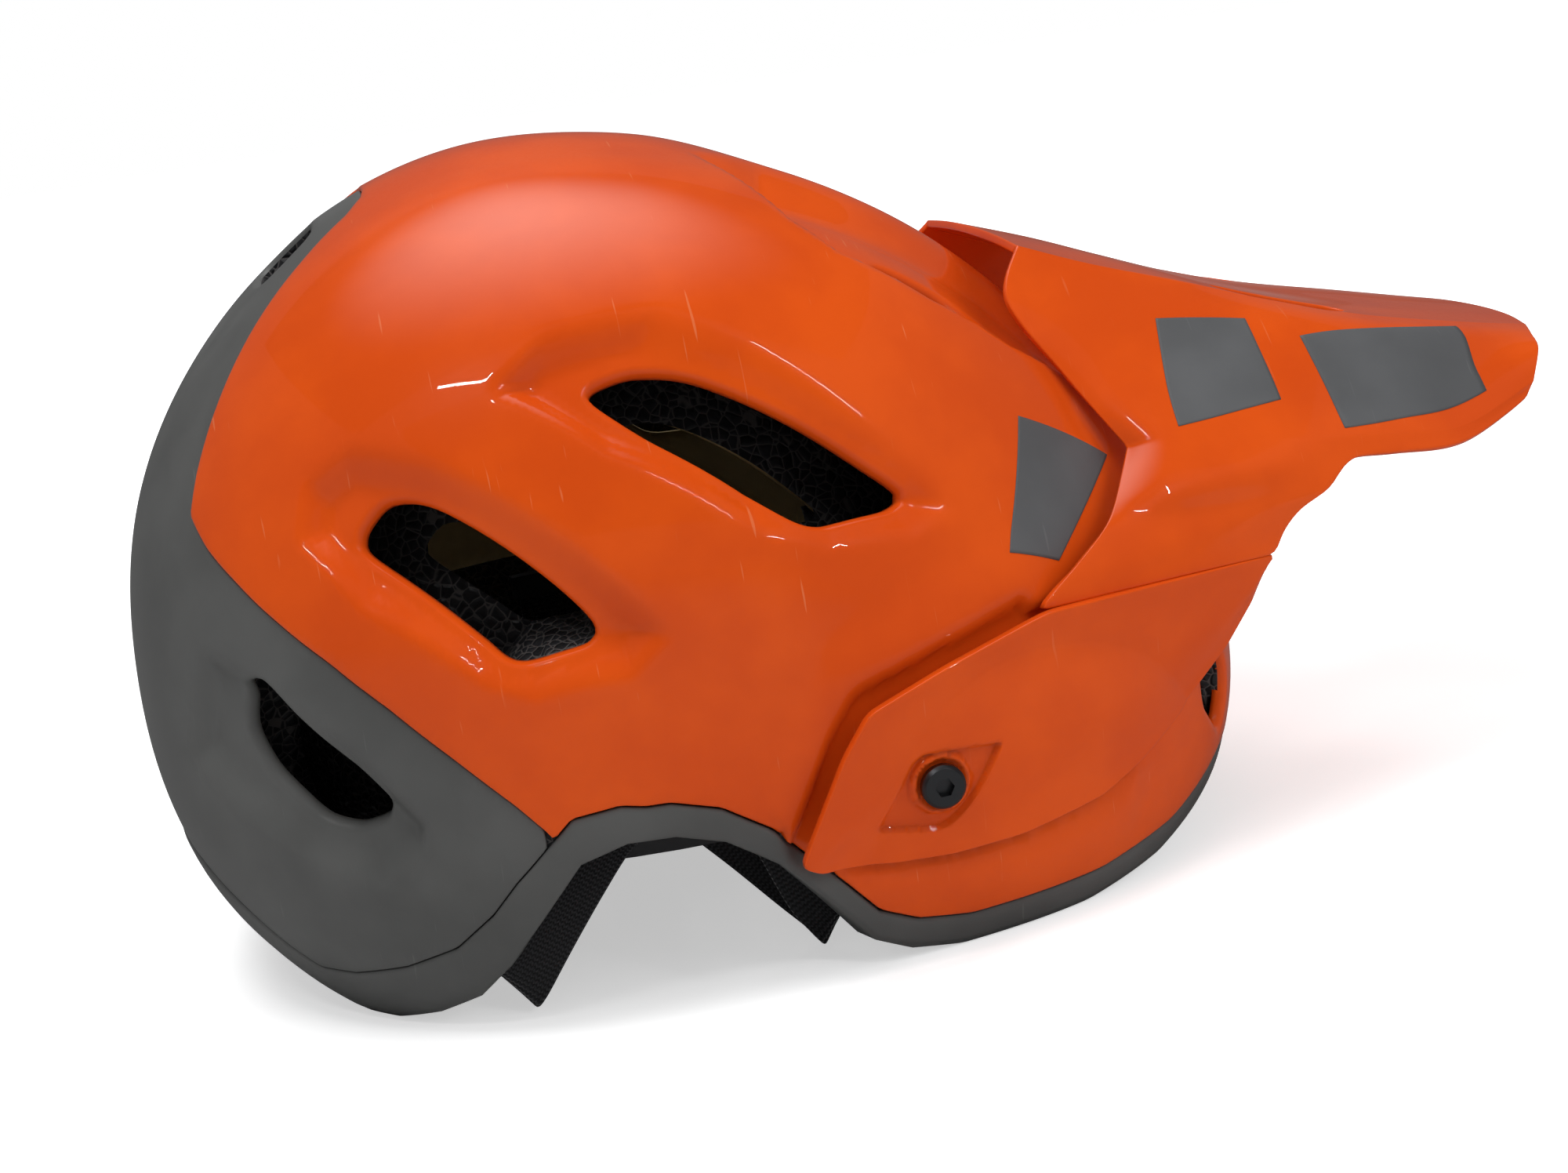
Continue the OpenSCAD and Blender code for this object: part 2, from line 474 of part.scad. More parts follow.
module visor() {
  G = [for (r = VFULL) [for (p = r) shift_x(p)]];
  H = [for (i = [0:len(G) - 1]) [for (j = [0:VN - 1]) G[i][j] - vnorm(G, i, j) * visor_t]];
  color("darkorange") at() difference() {
    union() {
      slab(G, H);
      for (s = [0, 1]) mirror([0, s, 0]) cheek();
    }
    for (s = [0, 1]) mirror([0, s, 0]) for (k = [0:3]) hull() for (x = [0, slot_l / 4])
      translate([181 + k * slot_l / 4 + x, 43.5 - slot_w / 2 + 0.6, 100 + 15])
        cylinder(d = slot_w - 1, h = 30, $fn = 16);
  }
}
// the visor's cheek on the left, from the side panel down to the seam over the arm:
// rear x, front x, rear z, front z, rear y, front y of each row
CHK = [[103, 169, 81, 78.2, 99.5, 82.5], [110, 171.5, 85, 82.4, 97, 81.5],
    [116, 175.5, 88.5, 86.4, 94, 80.5], [124, 183, 93.5, 90.4, 89.5, 79],
    [129.5, 190, 98.6, 95.5, 86, 77.2]];
function cheek_row(r, t, k = 8) = [for (j = [0:k])
  let (s = j / k, p = tied([r[0] + (r[1] - r[0]) * s, r[4] + (r[5] - r[4]) * s, r[2] + (r[3] - r[2]) * s]))
  [p[0], max(p[1], side_y(p[0], p[2]) + arm_gap) + t, p[2]]];
module cheek() slab([for (r = CHK) cheek_row(r, -0.2)], [for (r = CHK) cheek_row(r, visor_t - 0.2)]);

// slip liner and pads
function slip_h(a) = lookup(abs(a), [[0, 50], [16, 52], [27, 63], [42, 65], [60, 68], [90, 74],
    [120, 74], [150, 70], [180, 68]]);
PHS = [for (k = [0:39]) 9 * k - (k > 19 ? 360 : 0)];
// the slip liner's depth below the foam: wider towards the corners, where a turn brings it closer
function liner_off(a, rho) = -slip_gap * (1 + 1.5 * abs(sin(2 * a)) * smooth((rho - 30) / 50));
function liner_pt(a, rho, off = 0) = ipt(a, rho, liner_off(a, rho) + off);
module slip_liner() {
  n = 9;
  r1 = [for (a = PHS) solve_i(a, slip_h(a), -slip_gap)];
  A = [for (i = [1:n]) [for (j = [0:len(PHS) - 1]) liner_pt(PHS[j], r1[j] * i / n)]];
  B = [for (i = [1:n]) [for (j = [0:len(PHS) - 1]) liner_pt(PHS[j], r1[j] * i / n, -slip_t)]];
  color([0.85, 0.72, 0.3]) at() difference() {
    cap(A, B, liner_pt(0, 0), liner_pt(0, 0, -slip_t));
    vents([V1_HOLE, V2_HOLE, FRONT_HOLE, [[-52, -12], [-60, -32], [-48, -36], [-40, -14]]], -18, -60, 1.1);
  }
}
// soft studs that hold the slip liner in the foam, on the helmet's two middle planes
module slip_stud(u, v) color([0.85, 0.72, 0.3]) at()
  translate(in_pt(u, v)) rotate([0, norm([u, v]), atan2(v, u)]) {
    translate([0, 0, 0.5 - slip_gap]) cylinder(d = 8, h = slip_gap - 0.5);
    cylinder(d = 5, h = 8);
  }
module slip_stud_front() slip_stud(34, 0);
module slip_stud_rear() slip_stud(-50, 0);
module slip_stud_left() slip_stud(0, 38);
module slip_stud_right() slip_stud(0, -38);
// comfort pads on the slip liner: a grid of points over the liner, thinner along its edges
pad_gap = 1;
function pad_pt(u, v, off) = liner_pt(atan2(v, u), norm([u, v]), -slip_t - pad_gap - off);
module pad(u0, u1, v0, v1, n, m) color([0.1, 0.1, 0.11]) slab(
  [for (i = [0:n]) [for (j = [0:m]) pad_pt(u0 + (u1 - u0) * i / n, v0 + (v1 - v0) * j / m, 0)]],
  [for (i = [0:n]) [for (j = [0:m]) pad_pt(u0 + (u1 - u0) * i / n, v0 + (v1 - v0) * j / m,
    pad_t * (i == 0 || i == n || j == 0 || j == m ? 0.5 : 1))]]);
module pad_brow() {
  n = 10;
  z0 = 52;
  az = [for (j = [0:n]) -45 + 9 * j];
  o = -slip_t - pad_gap - 0.5;
  R = [for (i = [0:3]) [for (a = az) solve_i(a, z0 + brow_pad_h * (1 - i / 3), -slip_gap)]];
  A = [for (i = [0:3]) [for (j = [0:n]) liner_pt(az[j], R[i][j], o)]];
  B = [for (i = [0:3]) [for (j = [0:n]) liner_pt(az[j], R[i][j],
    o - pad_t * (i == 0 || i == 3 || j == 0 || j == n ? 0.5 : 1))]];
  color([0.1, 0.1, 0.11]) at() slab(B, A);
}
module pad_crown() at() pad(30, -30, -9, 9, 8, 4);
module pad_side_left() both(true) pad(34, -26, 26, 40, 6, 3);
module pad_side_right() both(false) pad(34, -26, 26, 40, 6, 3);
module pad_rear() at() pad(-64, -78, -28, 28, 3, 6);

// a point on the foam's inner face at an azimuth and a height, moved outwards by off
function in_at(a, z, off) = let (p = ipt(a, solve_i(a, z, off), off)) [p[0], p[1], z];

// strap anchors pressed into the foam above the arch, on the left
web_in = web_t / 2 + 1.8;
ANCHOR_Z = 61;
AF = 73;
AR = 96;
module strap_anchor(a, left) color([0.08, 0.08, 0.09]) both(left)
  translate(in_at(a, ANCHOR_Z, -web_in - 0.2)) rotate([0, 0, a]) {
    translate([-1.8, -web_w / 2 - 1.5, 0]) cube([3.6, web_w + 3, 7]);
    translate([0, 0, 3.5]) rotate([0, 90, 0]) cylinder(d = 7, h = 11);
  }
module strap_anchor_front_left() strap_anchor(AF, true);
module strap_anchor_front_right() strap_anchor(AF, false);
module strap_anchor_rear_left() strap_anchor(AR, true);
module strap_anchor_rear_right() strap_anchor(AR, false);

// divider where the front and the rear strap meet, on the left
DIV = inside([10, 60, 44]);
DIV_W = 20;
DIV_H = 22;
DIV_T = 3.6;
module strap_divider(left) color([0.08, 0.08, 0.09]) both(left)
  translate([DIV[0] - DIV_W / 2, DIV[1] - DIV_T / 2, DIV[2] - DIV_H / 2]) difference() {
    cube([DIV_W, DIV_T, DIV_H]);
    for (x = [4, DIV_W - 6]) translate([x, -1, 2]) cube([2, DIV_T + 2, DIV_H - 4]);
    translate([8, -1, 2]) cube([4, DIV_T + 2, 3]);
  }
module strap_divider_left() strap_divider(true);
module strap_divider_right() strap_divider(false);

// webbing, on the left: from its anchor, down past the arch, folded back inside to the divider
REAR_P = route([in_at(AR, ANCHOR_Z - 1, -web_in), in_at(AR + 1, 50, -web_in), inside([-4, 80, 42]),
    inside([-12, 80.5, 33]), inside([-20, 80.5, 23]),
  inside([-27.5, 80, 13]), inside([-30, 76.5, 8.5]), inside([-27, 71.5, 11]), inside([-20.5, 66, 20]),
    inside([-12, 62, 29]),
  [DIV[0] - DIV_W / 2 - 4.6, DIV[1], DIV[2] - 7]], 3);
FRONT_P = route([in_at(AF, ANCHOR_Z - 1, -web_in), in_at(AF, 50, -web_in), inside([39.5, 80, 38]),
    inside([42.5, 81, 28]), inside([46.5, 81, 17]),
  inside([50, 80.5, 11]), inside([51, 77, 8.3]), inside([49, 72.5, 10.5]), inside([43, 69, 17]),
    inside([34, 64, 27]),
  [DIV[0] + DIV_W / 2 + 4.6, DIV[1], DIV[2] - 7]], 3);
REAR_W = [for (i = [0:len(REAR_P) - 1]) i < 6 ? [0.98, 0.15, 0] : i < 16 ? [0.76, 0.1, -0.65]
    : [0.6, 0.1, -0.8]];
FRONT_W = [for (i = [0:len(FRONT_P) - 1]) i < 6 ? [0.99, -0.14, 0] : i < 16 ? [0.95, -0.1, 0.3]
    : [0.6, 0, 0.8]];
strap_room = 3;
module strap(P, W, left) color([0.1, 0.1, 0.1]) both(left) sweep(strap_rings(P, W));
// the channels that the webbing lies in on its way out of the foam
module strap_channels()
  for (s = [0, 1]) mirror([0, s, 0]) {
    sweep(strap_rings([for (i = [1:17]) REAR_P[i]], [for (i = [1:17]) REAR_W[i]], strap_room));
    sweep(strap_rings([for (i = [1:17]) FRONT_P[i]], [for (i = [1:17]) FRONT_W[i]], strap_room));
  }
module strap_rear_left() strap(REAR_P, REAR_W, true);
module strap_rear_right() strap(REAR_P, REAR_W, false);
module strap_front_left() strap(FRONT_P, FRONT_W, true);
module strap_front_right() strap(FRONT_P, FRONT_W, false);

// buckle between the two chin straps
BK = inside([10, 0, 22]);
bk_w = 24;
bk_t = 9;
bk_l = 22;
tongue_w = 15;
tongue_t = 4.2;
tongue_l = buckle_travel - 6;
fit = 0.3;
module buckle_socket() color([0.07, 0.07, 0.08]) at() translate(BK) difference() {
  translate([-bk_w / 2, 0, -bk_t / 2]) cube([bk_w, bk_l + 5, bk_t]);
  translate([-tongue_w / 2 - fit, -1, -tongue_t / 2 - fit])
    cube([tongue_w + 2 * fit, tongue_l + 1 + 2 * fit, tongue_t + 2 * fit]);
  translate([-web_w / 2 - 0.6, bk_l - 1, -bk_t]) cube([web_w + 1.2, 3, 2 * bk_t]);
  for (s = [-1, 1]) translate([s * (bk_w / 2 + 8.5), 9, 0]) cylinder(r = 10, h = 20, center = true);
}
module buckle_tongue() color([0.07, 0.07, 0.08]) at() translate(BK) {
  difference() {
    translate([-bk_w / 2, -fit - 15, -bk_t / 2]) cube([bk_w, 15, bk_t]);
    translate([-web_w / 2 - 0.6, -fit - 11.5, -bk_t]) cube([web_w + 1.2, 3, 2 * bk_t]);
    translate([-web_w / 2 - 0.6, -fit - 6, -bk_t]) cube([web_w + 1.2, 2.4, 2 * bk_t]);
  }
  difference() {
    translate([-tongue_w / 2, -fit - 0.5, -tongue_t / 2])
      cube([tongue_w, tongue_l + fit + 0.5 - fit, tongue_t]);
    translate([-2.5, 2, -10]) cube([5, 20, 20]);
  }
}
module chin_strap(P) color([0.1, 0.1, 0.1]) at() sweep(strap_rings(P, [for (p = P) [1, 0, 0]]));
module chin_strap_left() chin_strap(route([[DIV[0], DIV[1] - DIV_T / 2 - 0.9, DIV[2] - 4],
    inside([10, 53, 34]), inside([10, 45, 28]),
  inside([10, 38, 24.5]), [BK[0], 32, BK[2]], [BK[0], bk_l + 5.3, BK[2]]], 3));
module chin_strap_right() chin_strap(route([[DIV[0], -DIV[1] + DIV_T / 2 + 0.9, DIV[2] - 4],
    inside([10, -53, 34]), inside([10, -45, 28]),
  inside([10, -36, 24]), [BK[0], -26, BK[2]], [BK[0], -fit - 15.3, BK[2]]], 3));
module strap_tail() chin_strap(route([[BK[0], -fit - 15.6, BK[2] + 3.2], [BK[0], -24, BK[2] + 3.2],
    inside([10, -36, 27.4]), inside([10, -45, 31.8]),
  inside([10, -50.5, 38]), inside([10, -52, 46])], 3));
module strap_keeper() color([0.15, 0.15, 0.15]) at() translate(inside([10, -40.5, 27.8]))
    rotate([-24, 0, 0]) difference() {
  translate([-web_w / 2 - 2.6, -3, -4.2]) cube([web_w + 5.2, 6, 8.4]);
  translate([-web_w / 2 - 1.2, -4, -3]) cube([web_w + 2.4, 8, 6]);
}

// flexible side bands of the fitting system, on the left, from the rack to the temple
DIAL_Z = 17;
RACK_Y = rack_travel + 15;
RACK_H = 3;
RACK_T = 4;
// the rail's back face, just inside the foam at the nape, and the front face of the dial's housing
// ahead of it
rail_x = in_at(180, 55, 0)[0] + 1.8;
HX = rail_x + 25;
HD = 10;
wall = 2;
rack_x = HX - wall - 0.5 - RACK_T / 2 - 0.8;
function rack_mid(up) = DIAL_Z + (up ? 1 : -1) * (pinion_r + 0.3 + RACK_H / 2);
belt_in = 5.8;
BELT_A = 60;
BELT_Z = 38;
module belt(left, up) color([0.08, 0.08, 0.09]) both(left) {
  z0 = rack_mid(up);
  P = concat([[rack_x, RACK_Y + 0.3, z0], [rack_x + 1, RACK_Y + 4, z0 + 0.5]],
    [for (k = [0:10]) let (a = 148 - (148 - BELT_A - 5) * k / 10, z = z0 + (BELT_Z - z0)
      * smooth((k + 1.5) / (up ? 5.5 : 5))) in_at(a, z, -belt_in)]);
  n = len(P);
  R = [for (i = [0:n - 1]) let (d = unit(P[min(n - 1, i + 1)] - P[max(0, i - 1)]),
    w = unit([0, 0, 1] - d * d[2]), t = cross(d, w),
    ww = i == 0 ? RACK_H + 1 : i == 1 ? 8 : band_w) flat(P[i], w, t, ww, band_t)];
  sweep(R);
}
module belt_left() belt(true, true);
module belt_right() belt(false, false);
module belt_anchor(left) color([0.08, 0.08, 0.09]) both(left)
  translate(in_at(BELT_A, BELT_Z, -belt_in)) rotate([0, 0, BELT_A]) {
    translate([-1.6, -6, -band_w / 2 - 1.5]) cube([3.2, 10, band_w + 3]);
    rotate([0, 90, 0]) cylinder(d = 6, h = 14);
  }
module belt_anchor_left() belt_anchor(true);
module belt_anchor_right() belt_anchor(false);

// rail on the foam at the nape, and the cradle that slides on it
rail_w = 14;
stem_z = [34, 54];
rail_z = [stem_z[1] - 8, stem_z[1] + cradle_travel + 1.5];
slide_fit = 0.3;
module cradle_rail() color([0.1, 0.1, 0.11]) at() {
  translate([rail_x - 1.5, -rail_w / 2, rail_z[0]]) cube([2.7, rail_w, rail_z[1] - rail_z[0]]);
  for (s = [-1, 1]) translate([rail_x + 1, s * (rail_w / 2 - 1) - 1, rail_z[0]])
    cube([3.2, 2, rail_z[1] - rail_z[0]]);
}
stem_x = rail_x + 1.2 + slide_fit;
module cradle_frame() color([0.1, 0.1, 0.11]) at() {
  translate([stem_x, -rail_w / 2 + 2 + slide_fit, stem_z[0]])
    cube([2.4, rail_w - 4 - 2 * slide_fit, stem_z[1] - stem_z[0]]);
  translate([stem_x + 2, -5, 36]) cube([8, 10, 4]);
  translate([HX - HD, -12, DIAL_Z + hs_h / 2 + 0.1]) cube([HD - wall - 0.3, 24, 8]);
  translate([HX - HD - 5, -12, DIAL_Z + hs_h / 2 + 1.2]) cube([8, 24, 6.9]);
  slab([for (i = [0:3]) [for (j = [0:8]) in_at(157 + 46 * j / 8, 45.5 - 11 * i / 3, -6.4)]],
    [for (i = [0:3]) [for (j = [0:8]) in_at(157 + 46 * j / 8, 45.5 - 11 * i / 3, -4.2)]]);
}
// flat plate with round corners, lying across X
module plate_x(w, h, r, t) rotate([90, 0, 90]) linear_extrude(t) {
  square([w - 2 * r, h], center = true);
  square([w, h - 2 * r], center = true);
  for (x = [-1, 1]) for (y = [-1, 1]) translate([x * (w / 2 - r), y * (h / 2 - r)]) circle(r = r);
}
hs_w = 2 * (rack_travel + 11);
hs_h = 26;
module dial_housing() color([0.1, 0.1, 0.11]) at() difference() {
  translate([HX - HD, 0, DIAL_Z]) plate_x(hs_w, hs_h, 8, HD - wall - 0.3);
  translate([HX - HD + wall, 0, DIAL_Z]) plate_x(hs_w - 2 * wall, hs_h - 2 * wall, 6, HD);
  translate([HX - HD - 1, 0, DIAL_Z]) rotate([0, 90, 0]) cylinder(r = shaft_d / 2 + shaft_fit, h = HD);
  translate([HX - HD + wall, 0, rack_mid(true) - RACK_H / 2 - fit]) cube([HD, hs_w, RACK_H + 2 * fit]);
  translate([HX - HD + wall, -hs_w, rack_mid(false) - RACK_H / 2 - fit]) cube([HD, hs_w, RACK_H + 2 * fit]);
}
module housing_cover() color([0.1, 0.1, 0.11]) at() translate([HX - wall, 0, DIAL_Z])
    plate_x(hs_w, hs_h, 8, wall);
module dial_knob() color([0.16, 0.16, 0.17]) at() translate([HX - HD - 0.3, 0, DIAL_Z]) rotate([0, 90, 0]) {
  translate([0, 0, -dial_t]) difference() {
    cylinder(d = dial_d, h = dial_t);
    for (k = [0:13]) rotate([0, 0, k * 360 / 14]) translate([dial_d / 2 + 0.9, 0, -1])
      cylinder(r = 2, h = dial_t + 2, $fn = 24);
    translate([0, 0, -1]) cylinder(d = dial_d - 9, h = 2.2);
  }
  translate([0, 0, -1]) cylinder(d = shaft_d, h = HD - wall - 0.4 + 1);
}
module dial_pinion() color([0.75, 0.75, 0.72]) at() translate([rack_x - RACK_T / 2, 0, DIAL_Z])
    rotate([0, 90, 0]) difference() {
  union() {
    cylinder(r = pinion_r - 0.9, h = RACK_T);
    for (k = [0:11]) rotate([0, 0, k * 30]) translate([0, -0.45, 0]) cube([pinion_r - 0.1, 0.9, RACK_T]);
  }
  translate([0, 0, -1]) cylinder(d = shaft_d, h = RACK_T + 2);
}
module rack(up) {
  n = 13;
  s = up ? 1 : -1;
  translate([rack_x - RACK_T / 2, -6, rack_mid(up) - RACK_H / 2]) difference() {
    cube([RACK_T, RACK_Y + 6, RACK_H]);
    for (k = [0:n - 1]) translate([-1, 0.9 + k * 2.35, up ? -1 : RACK_H - 0.9]) cube([RACK_T + 2, 1.4, 1.9]);
  }
}
module rack_left() color([0.75, 0.75, 0.72]) at() rack(true);
module rack_right() color([0.75, 0.75, 0.72]) at() mirror([0, 1, 0]) rack(false);

upper_shell();
rear_shell();
rim_trim();
eps_liner();
visor_insert_left();
visor_insert_right();
visor_screw_left();
visor_screw_right();
strap_anchor_front_left();
strap_anchor_front_right();
strap_anchor_rear_left();
strap_anchor_rear_right();
strap_front_left();
strap_front_right();
strap_rear_left();
strap_rear_right();
strap_divider_left();
strap_divider_right();
chin_strap_left();
chin_strap_right();
buckle_socket();
buckle_tongue();
strap_tail();
strap_keeper();
cradle_rail();
belt_left();
belt_right();
belt_anchor_left();
belt_anchor_right();
visor();
visor_arm_left();
visor_arm_right();
slip_stud_front();
slip_stud_rear();
slip_stud_left();
slip_stud_right();
slip_liner();
pad_brow();
pad_crown();
pad_side_left();
pad_side_right();
pad_rear();
cradle_frame();
dial_housing();
housing_cover();
dial_knob();
dial_pinion();
rack_left();
rack_right();
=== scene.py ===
"""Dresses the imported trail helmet: smooth in-moulded skins with rolled vent edges, bead foam, a creased
visor on its side arms, webbing, comfort pads and the finishes of every fitting, on a pale floor."""

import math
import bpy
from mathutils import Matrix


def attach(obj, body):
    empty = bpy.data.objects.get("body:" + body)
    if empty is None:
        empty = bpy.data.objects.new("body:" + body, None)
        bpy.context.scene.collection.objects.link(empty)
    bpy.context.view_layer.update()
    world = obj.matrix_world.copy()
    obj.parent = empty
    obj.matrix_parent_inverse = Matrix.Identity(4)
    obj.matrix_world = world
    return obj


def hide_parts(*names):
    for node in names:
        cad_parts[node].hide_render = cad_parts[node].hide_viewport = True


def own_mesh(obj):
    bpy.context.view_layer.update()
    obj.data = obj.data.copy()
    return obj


bl_info = {
    "name": "Trail Helmet Builder",
    "version": (1, 0, 0),
    "blender": (4, 5, 0),
    "location": "View3D > Sidebar > Trail Helmet",
    "description": "Builds the visible pieces of an open trail helmet round its packed model",
    "category": "Add Mesh",
}

import bmesh
import bpy
import numpy as np
from bpy.props import FloatProperty, FloatVectorProperty, IntProperty, PointerProperty
from mathutils import Matrix, Vector

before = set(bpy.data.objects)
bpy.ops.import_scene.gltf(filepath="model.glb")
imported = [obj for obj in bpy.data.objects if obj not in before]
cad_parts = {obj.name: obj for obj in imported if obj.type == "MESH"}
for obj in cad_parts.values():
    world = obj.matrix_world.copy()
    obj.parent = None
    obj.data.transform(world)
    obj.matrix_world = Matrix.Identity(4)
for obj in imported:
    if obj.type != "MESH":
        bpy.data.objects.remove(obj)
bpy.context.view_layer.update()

# The shell is drawn round the centre of the head. A shell point has a forward angle u and a leftward
# angle v from the crown, in degrees, and a radius in millimetres along that direction.
SHIFT_X = 82.49
HEAD = np.array([15.0, 0.0, 86.0])
HALF_WIDTH = 107.0
# millimetres of shell in a degree, how far the skins' grids reach in degrees, and a distance past all
PER_DEGREE, REACH, FAR = 2.05, 118.0, 1e9
PROFILE = [153, 132, 119, 111.5, 110, 112, 113.5, 115.5, 118.5, 120.5, 125, 128, 127, 128, 134, 148, 164,
           168]
SQUARE = [2.45, 2.35, 2.35, 2.35, 2.35, 2.35, 2.35, 2.35, 2.35, 2.35, 2.35, 2.4, 2.55, 2.8, 3, 3, 3, 2.8]
# the upper skin's lift off the shell and the foam's, the drop past a rolled vent or rim, and the rear's roll
SKIN, FOAM_OUT = 0.8, -1.3
VENT_DROP, RIM_DROP, REAR_ROLL = 1.2, 0.6, 0.5

# vent outlines on the wearer's right, as angles: the holes and the scoops round them
LONG_VENT = [(-4.5, -55.8), (4, -62.7), (24, -72.3), (29, -72.3), (40, -67.4), (43, -64.6), (34.7, -62.7),
             (11, -55), (3, -54.2)]
LONG_SCOOP = [(-16, -53), (-2, -65), (20, -75), (30, -75), (43, -70), (50, -63.5), (18, -50.5), (9, -47.5),
              (-7, -48.5)]
SIDE_VENT = [(-40, -57.5), (-41, -59.5), (-27.8, -81), (-24, -83.4), (-12.5, -84.8), (-10, -83), (-29, -60),
             (-35, -56.5)]
SIDE_SCOOP = [(-47, -53), (-43, -66), (-31, -83), (-24, -88), (-6, -90.5), (3, -86), (-24.5, -57),
              (-34, -49), (-42, -48)]
REAR_VENT = [(-67, -54.5), (-73.5, -56), (-75, -62), (-73, -73), (-68, -79.5), (-61, -83.5), (-57, -82),
             (-61.5, -70), (-63, -58)]
REAR_SCOOP = [(-70, -44), (-85, -45), (-84, -58), (-78, -75), (-70, -87), (-57, -92), (-50, -89.5),
              (-56, -75), (-62, -53)]
FRONT_VENT = [(42, -29), (45, -31), (60, -30.5), (64, -27.5), (54, -24.5), (44, -25)]
BROW_VENT = [(88, -47), (93, -52), (101, -45), (98, -40), (94, -41)]
NAPE_VENT = [(-30, -7), (-39, -9), (-39, 9), (-30, 7)]
TROUGH = [(19, -10), (28, -29), (34, -34), (46, -36), (58, -35), (68, -31), (92, -20), (92, -6), (60, -2),
          (30, -2)]
# scoops: an outline, its depth in millimetres, and the degrees over which each edge falls away
SCOOPS = [(LONG_SCOOP, 5.0, [3, 4, 6, 6, 6, 7, 7, 5, 3.5]),
          (SIDE_SCOOP, 5.0, [3.5, 4, 5, 6, 6, 6, 6, 5, 4]), (REAR_SCOOP, 4.0, [5] * 9),
          (TROUGH, 8.0, [5, 3.5, 3.5, 3.5, 3.5, 4, 6, 8, 15, 12])]
SPINE_HEIGHT, SPINE_WIDTH = 1.6, 16
# the shell beside the side arm, by the distance from it in degrees: a groove, a ledge and a lip that fades
GROOVE_DEPTH, GROOVE_FROM, GROOVE_FALL = 1.3, 4.0, 1.2
LEDGE_HEIGHT, LEDGE_FOOT, LEDGE_RISE, LEDGE_TOP = 0.5, 0.7, 0.6, 1.3
LIP_HEIGHT, LIP_TOP, LIP_FADE = 1.25, 2.6, 7.0
LINER_SLOT = [(-52, -12), (-60, -32), (-48, -36), (-40, -14)]

# heights round the helmet, by the angle from straight ahead
RIM = [(0, 20), (14, 18), (24, 12), (32, 3.5), (41.5, 0), (48, 0), (56.5, 0), (63, 2.8), (68, 8),
       (74, 21.6), (80, 34.8), (86, 42.8), (92, 46.5), (98, 47), (104, 43.7), (110, 31), (116, 18.8),
       (122, 9.9), (130, 4), (139, 0), (145.5, 0), (149.5, 6), (155, 15.9), (162, 24.9), (170, 29.1),
       (180, 30)]
BAND = [(0, 10), (40, 8), (60, 8), (95, 8), (112, 14), (140, 16), (180, 14)]
BEVEL = [(0, 8), (30, 5), (56, 5), (66, 14), (80, 14), (92, 8), (104, 14), (112, 18), (124, 18), (136, 8),
         (142, 5), (160, 12), (180, 14)]
SPLIT = [(107, 107), (110, 103), (116, 96), (122, 89.5), (128, 84), (134, 79.5), (140, 75.2), (145, 72),
         (149.5, 68.5), (151.5, 52), (153.5, 37), (157, 27), (163, 23.6), (171, 22.3), (180, 22)]
SLIP = [(0, 50), (16, 52), (27, 63), (42, 65), (60, 68), (90, 74), (120, 74), (150, 70), (180, 68)]


def line_value(table, x):
    keys, values = zip(*table)
    return np.interp(x, keys, values)


def curve_value(table, angle):
    return line_value(table, np.abs(angle))


def catmull_rom(a, b, c, d, f):
    """The curve from b at 0 to c at 1, with a before them and d after them."""
    return 0.5 * (2 * b + (c - a) * f + (2 * a - 5 * b + 4 * c - d) * f**2 + (3 * b - a - 3 * c + d) * f**3)


def knot_value(table, theta):
    """A closed table with a value each 20 degrees, read at any angle."""
    table = np.asarray(table, float)
    t = (np.asarray(theta, float) + 720.0) / 20.0
    i = np.floor(t).astype(int)
    a, b, c, d = (table[(i + k) % len(table)] for k in (-1, 0, 1, 2))
    return catmull_rom(a, b, c, d, t - i)


def smooth_step(x):
    x = np.clip(x, 0, 1)
    return x * x * (3 - 2 * x)


def directions(uv):
    r = np.hypot(uv[:, 0], uv[:, 1])
    safe = np.maximum(r, 1e-6)
    s = np.sin(np.radians(r))
    return np.stack([s * uv[:, 0] / safe, s * uv[:, 1] / safe, np.cos(np.radians(r))], 1)


def angles_of(points):
    d = points - HEAD
    d = d / np.linalg.norm(d, axis=1, keepdims=True)
    r = np.degrees(np.arccos(np.clip(d[:, 2], -1, 1)))
    h = np.maximum(np.hypot(d[:, 0], d[:, 1]), 1e-9)
    return np.stack([r * d[:, 0] / h, r * d[:, 1] / h], 1)


def shell_radius(d):
    s = np.hypot(d[:, 0], d[:, 2])
    theta = np.degrees(np.arctan2(d[:, 2], d[:, 0]))
    n = knot_value(SQUARE, theta)
    return ((s / knot_value(PROFILE, theta)) ** n + (np.abs(d[:, 1]) / HALF_WIDTH) ** n) ** (-1 / n)


def inside_depth(outline, uv, widths):
    """How far a point lies inside a convex outline, in shares of each edge's own width."""
    poly = np.asarray(outline, float)
    depth = np.full(len(uv), np.inf)
    for a, b, width in zip(poly, np.roll(poly, -1, 0), widths):
        e = (b - a) / np.linalg.norm(b - a)
        side = e[1] * (uv[:, 0] - a[0]) - e[0] * (uv[:, 1] - a[1])
        depth = np.minimum(depth, -side / width)
    return depth


def side_half_width(x, z):
    dx, dz = np.asarray(x, float) - HEAD[0], np.asarray(z, float) - HEAD[2]
    theta = np.degrees(np.arctan2(dz, dx))
    n = knot_value(SQUARE, theta)
    s = np.hypot(dx, dz) / knot_value(PROFILE, theta)
    return HALF_WIDTH * np.maximum(0.02, 1 - s**n) ** (1 / n)


# the two sides, and a flip of the visor's plan across its middle
SIDES = (("left", 1), ("right", -1))
FLIP_ACROSS = np.array([-1.0, 1.0])

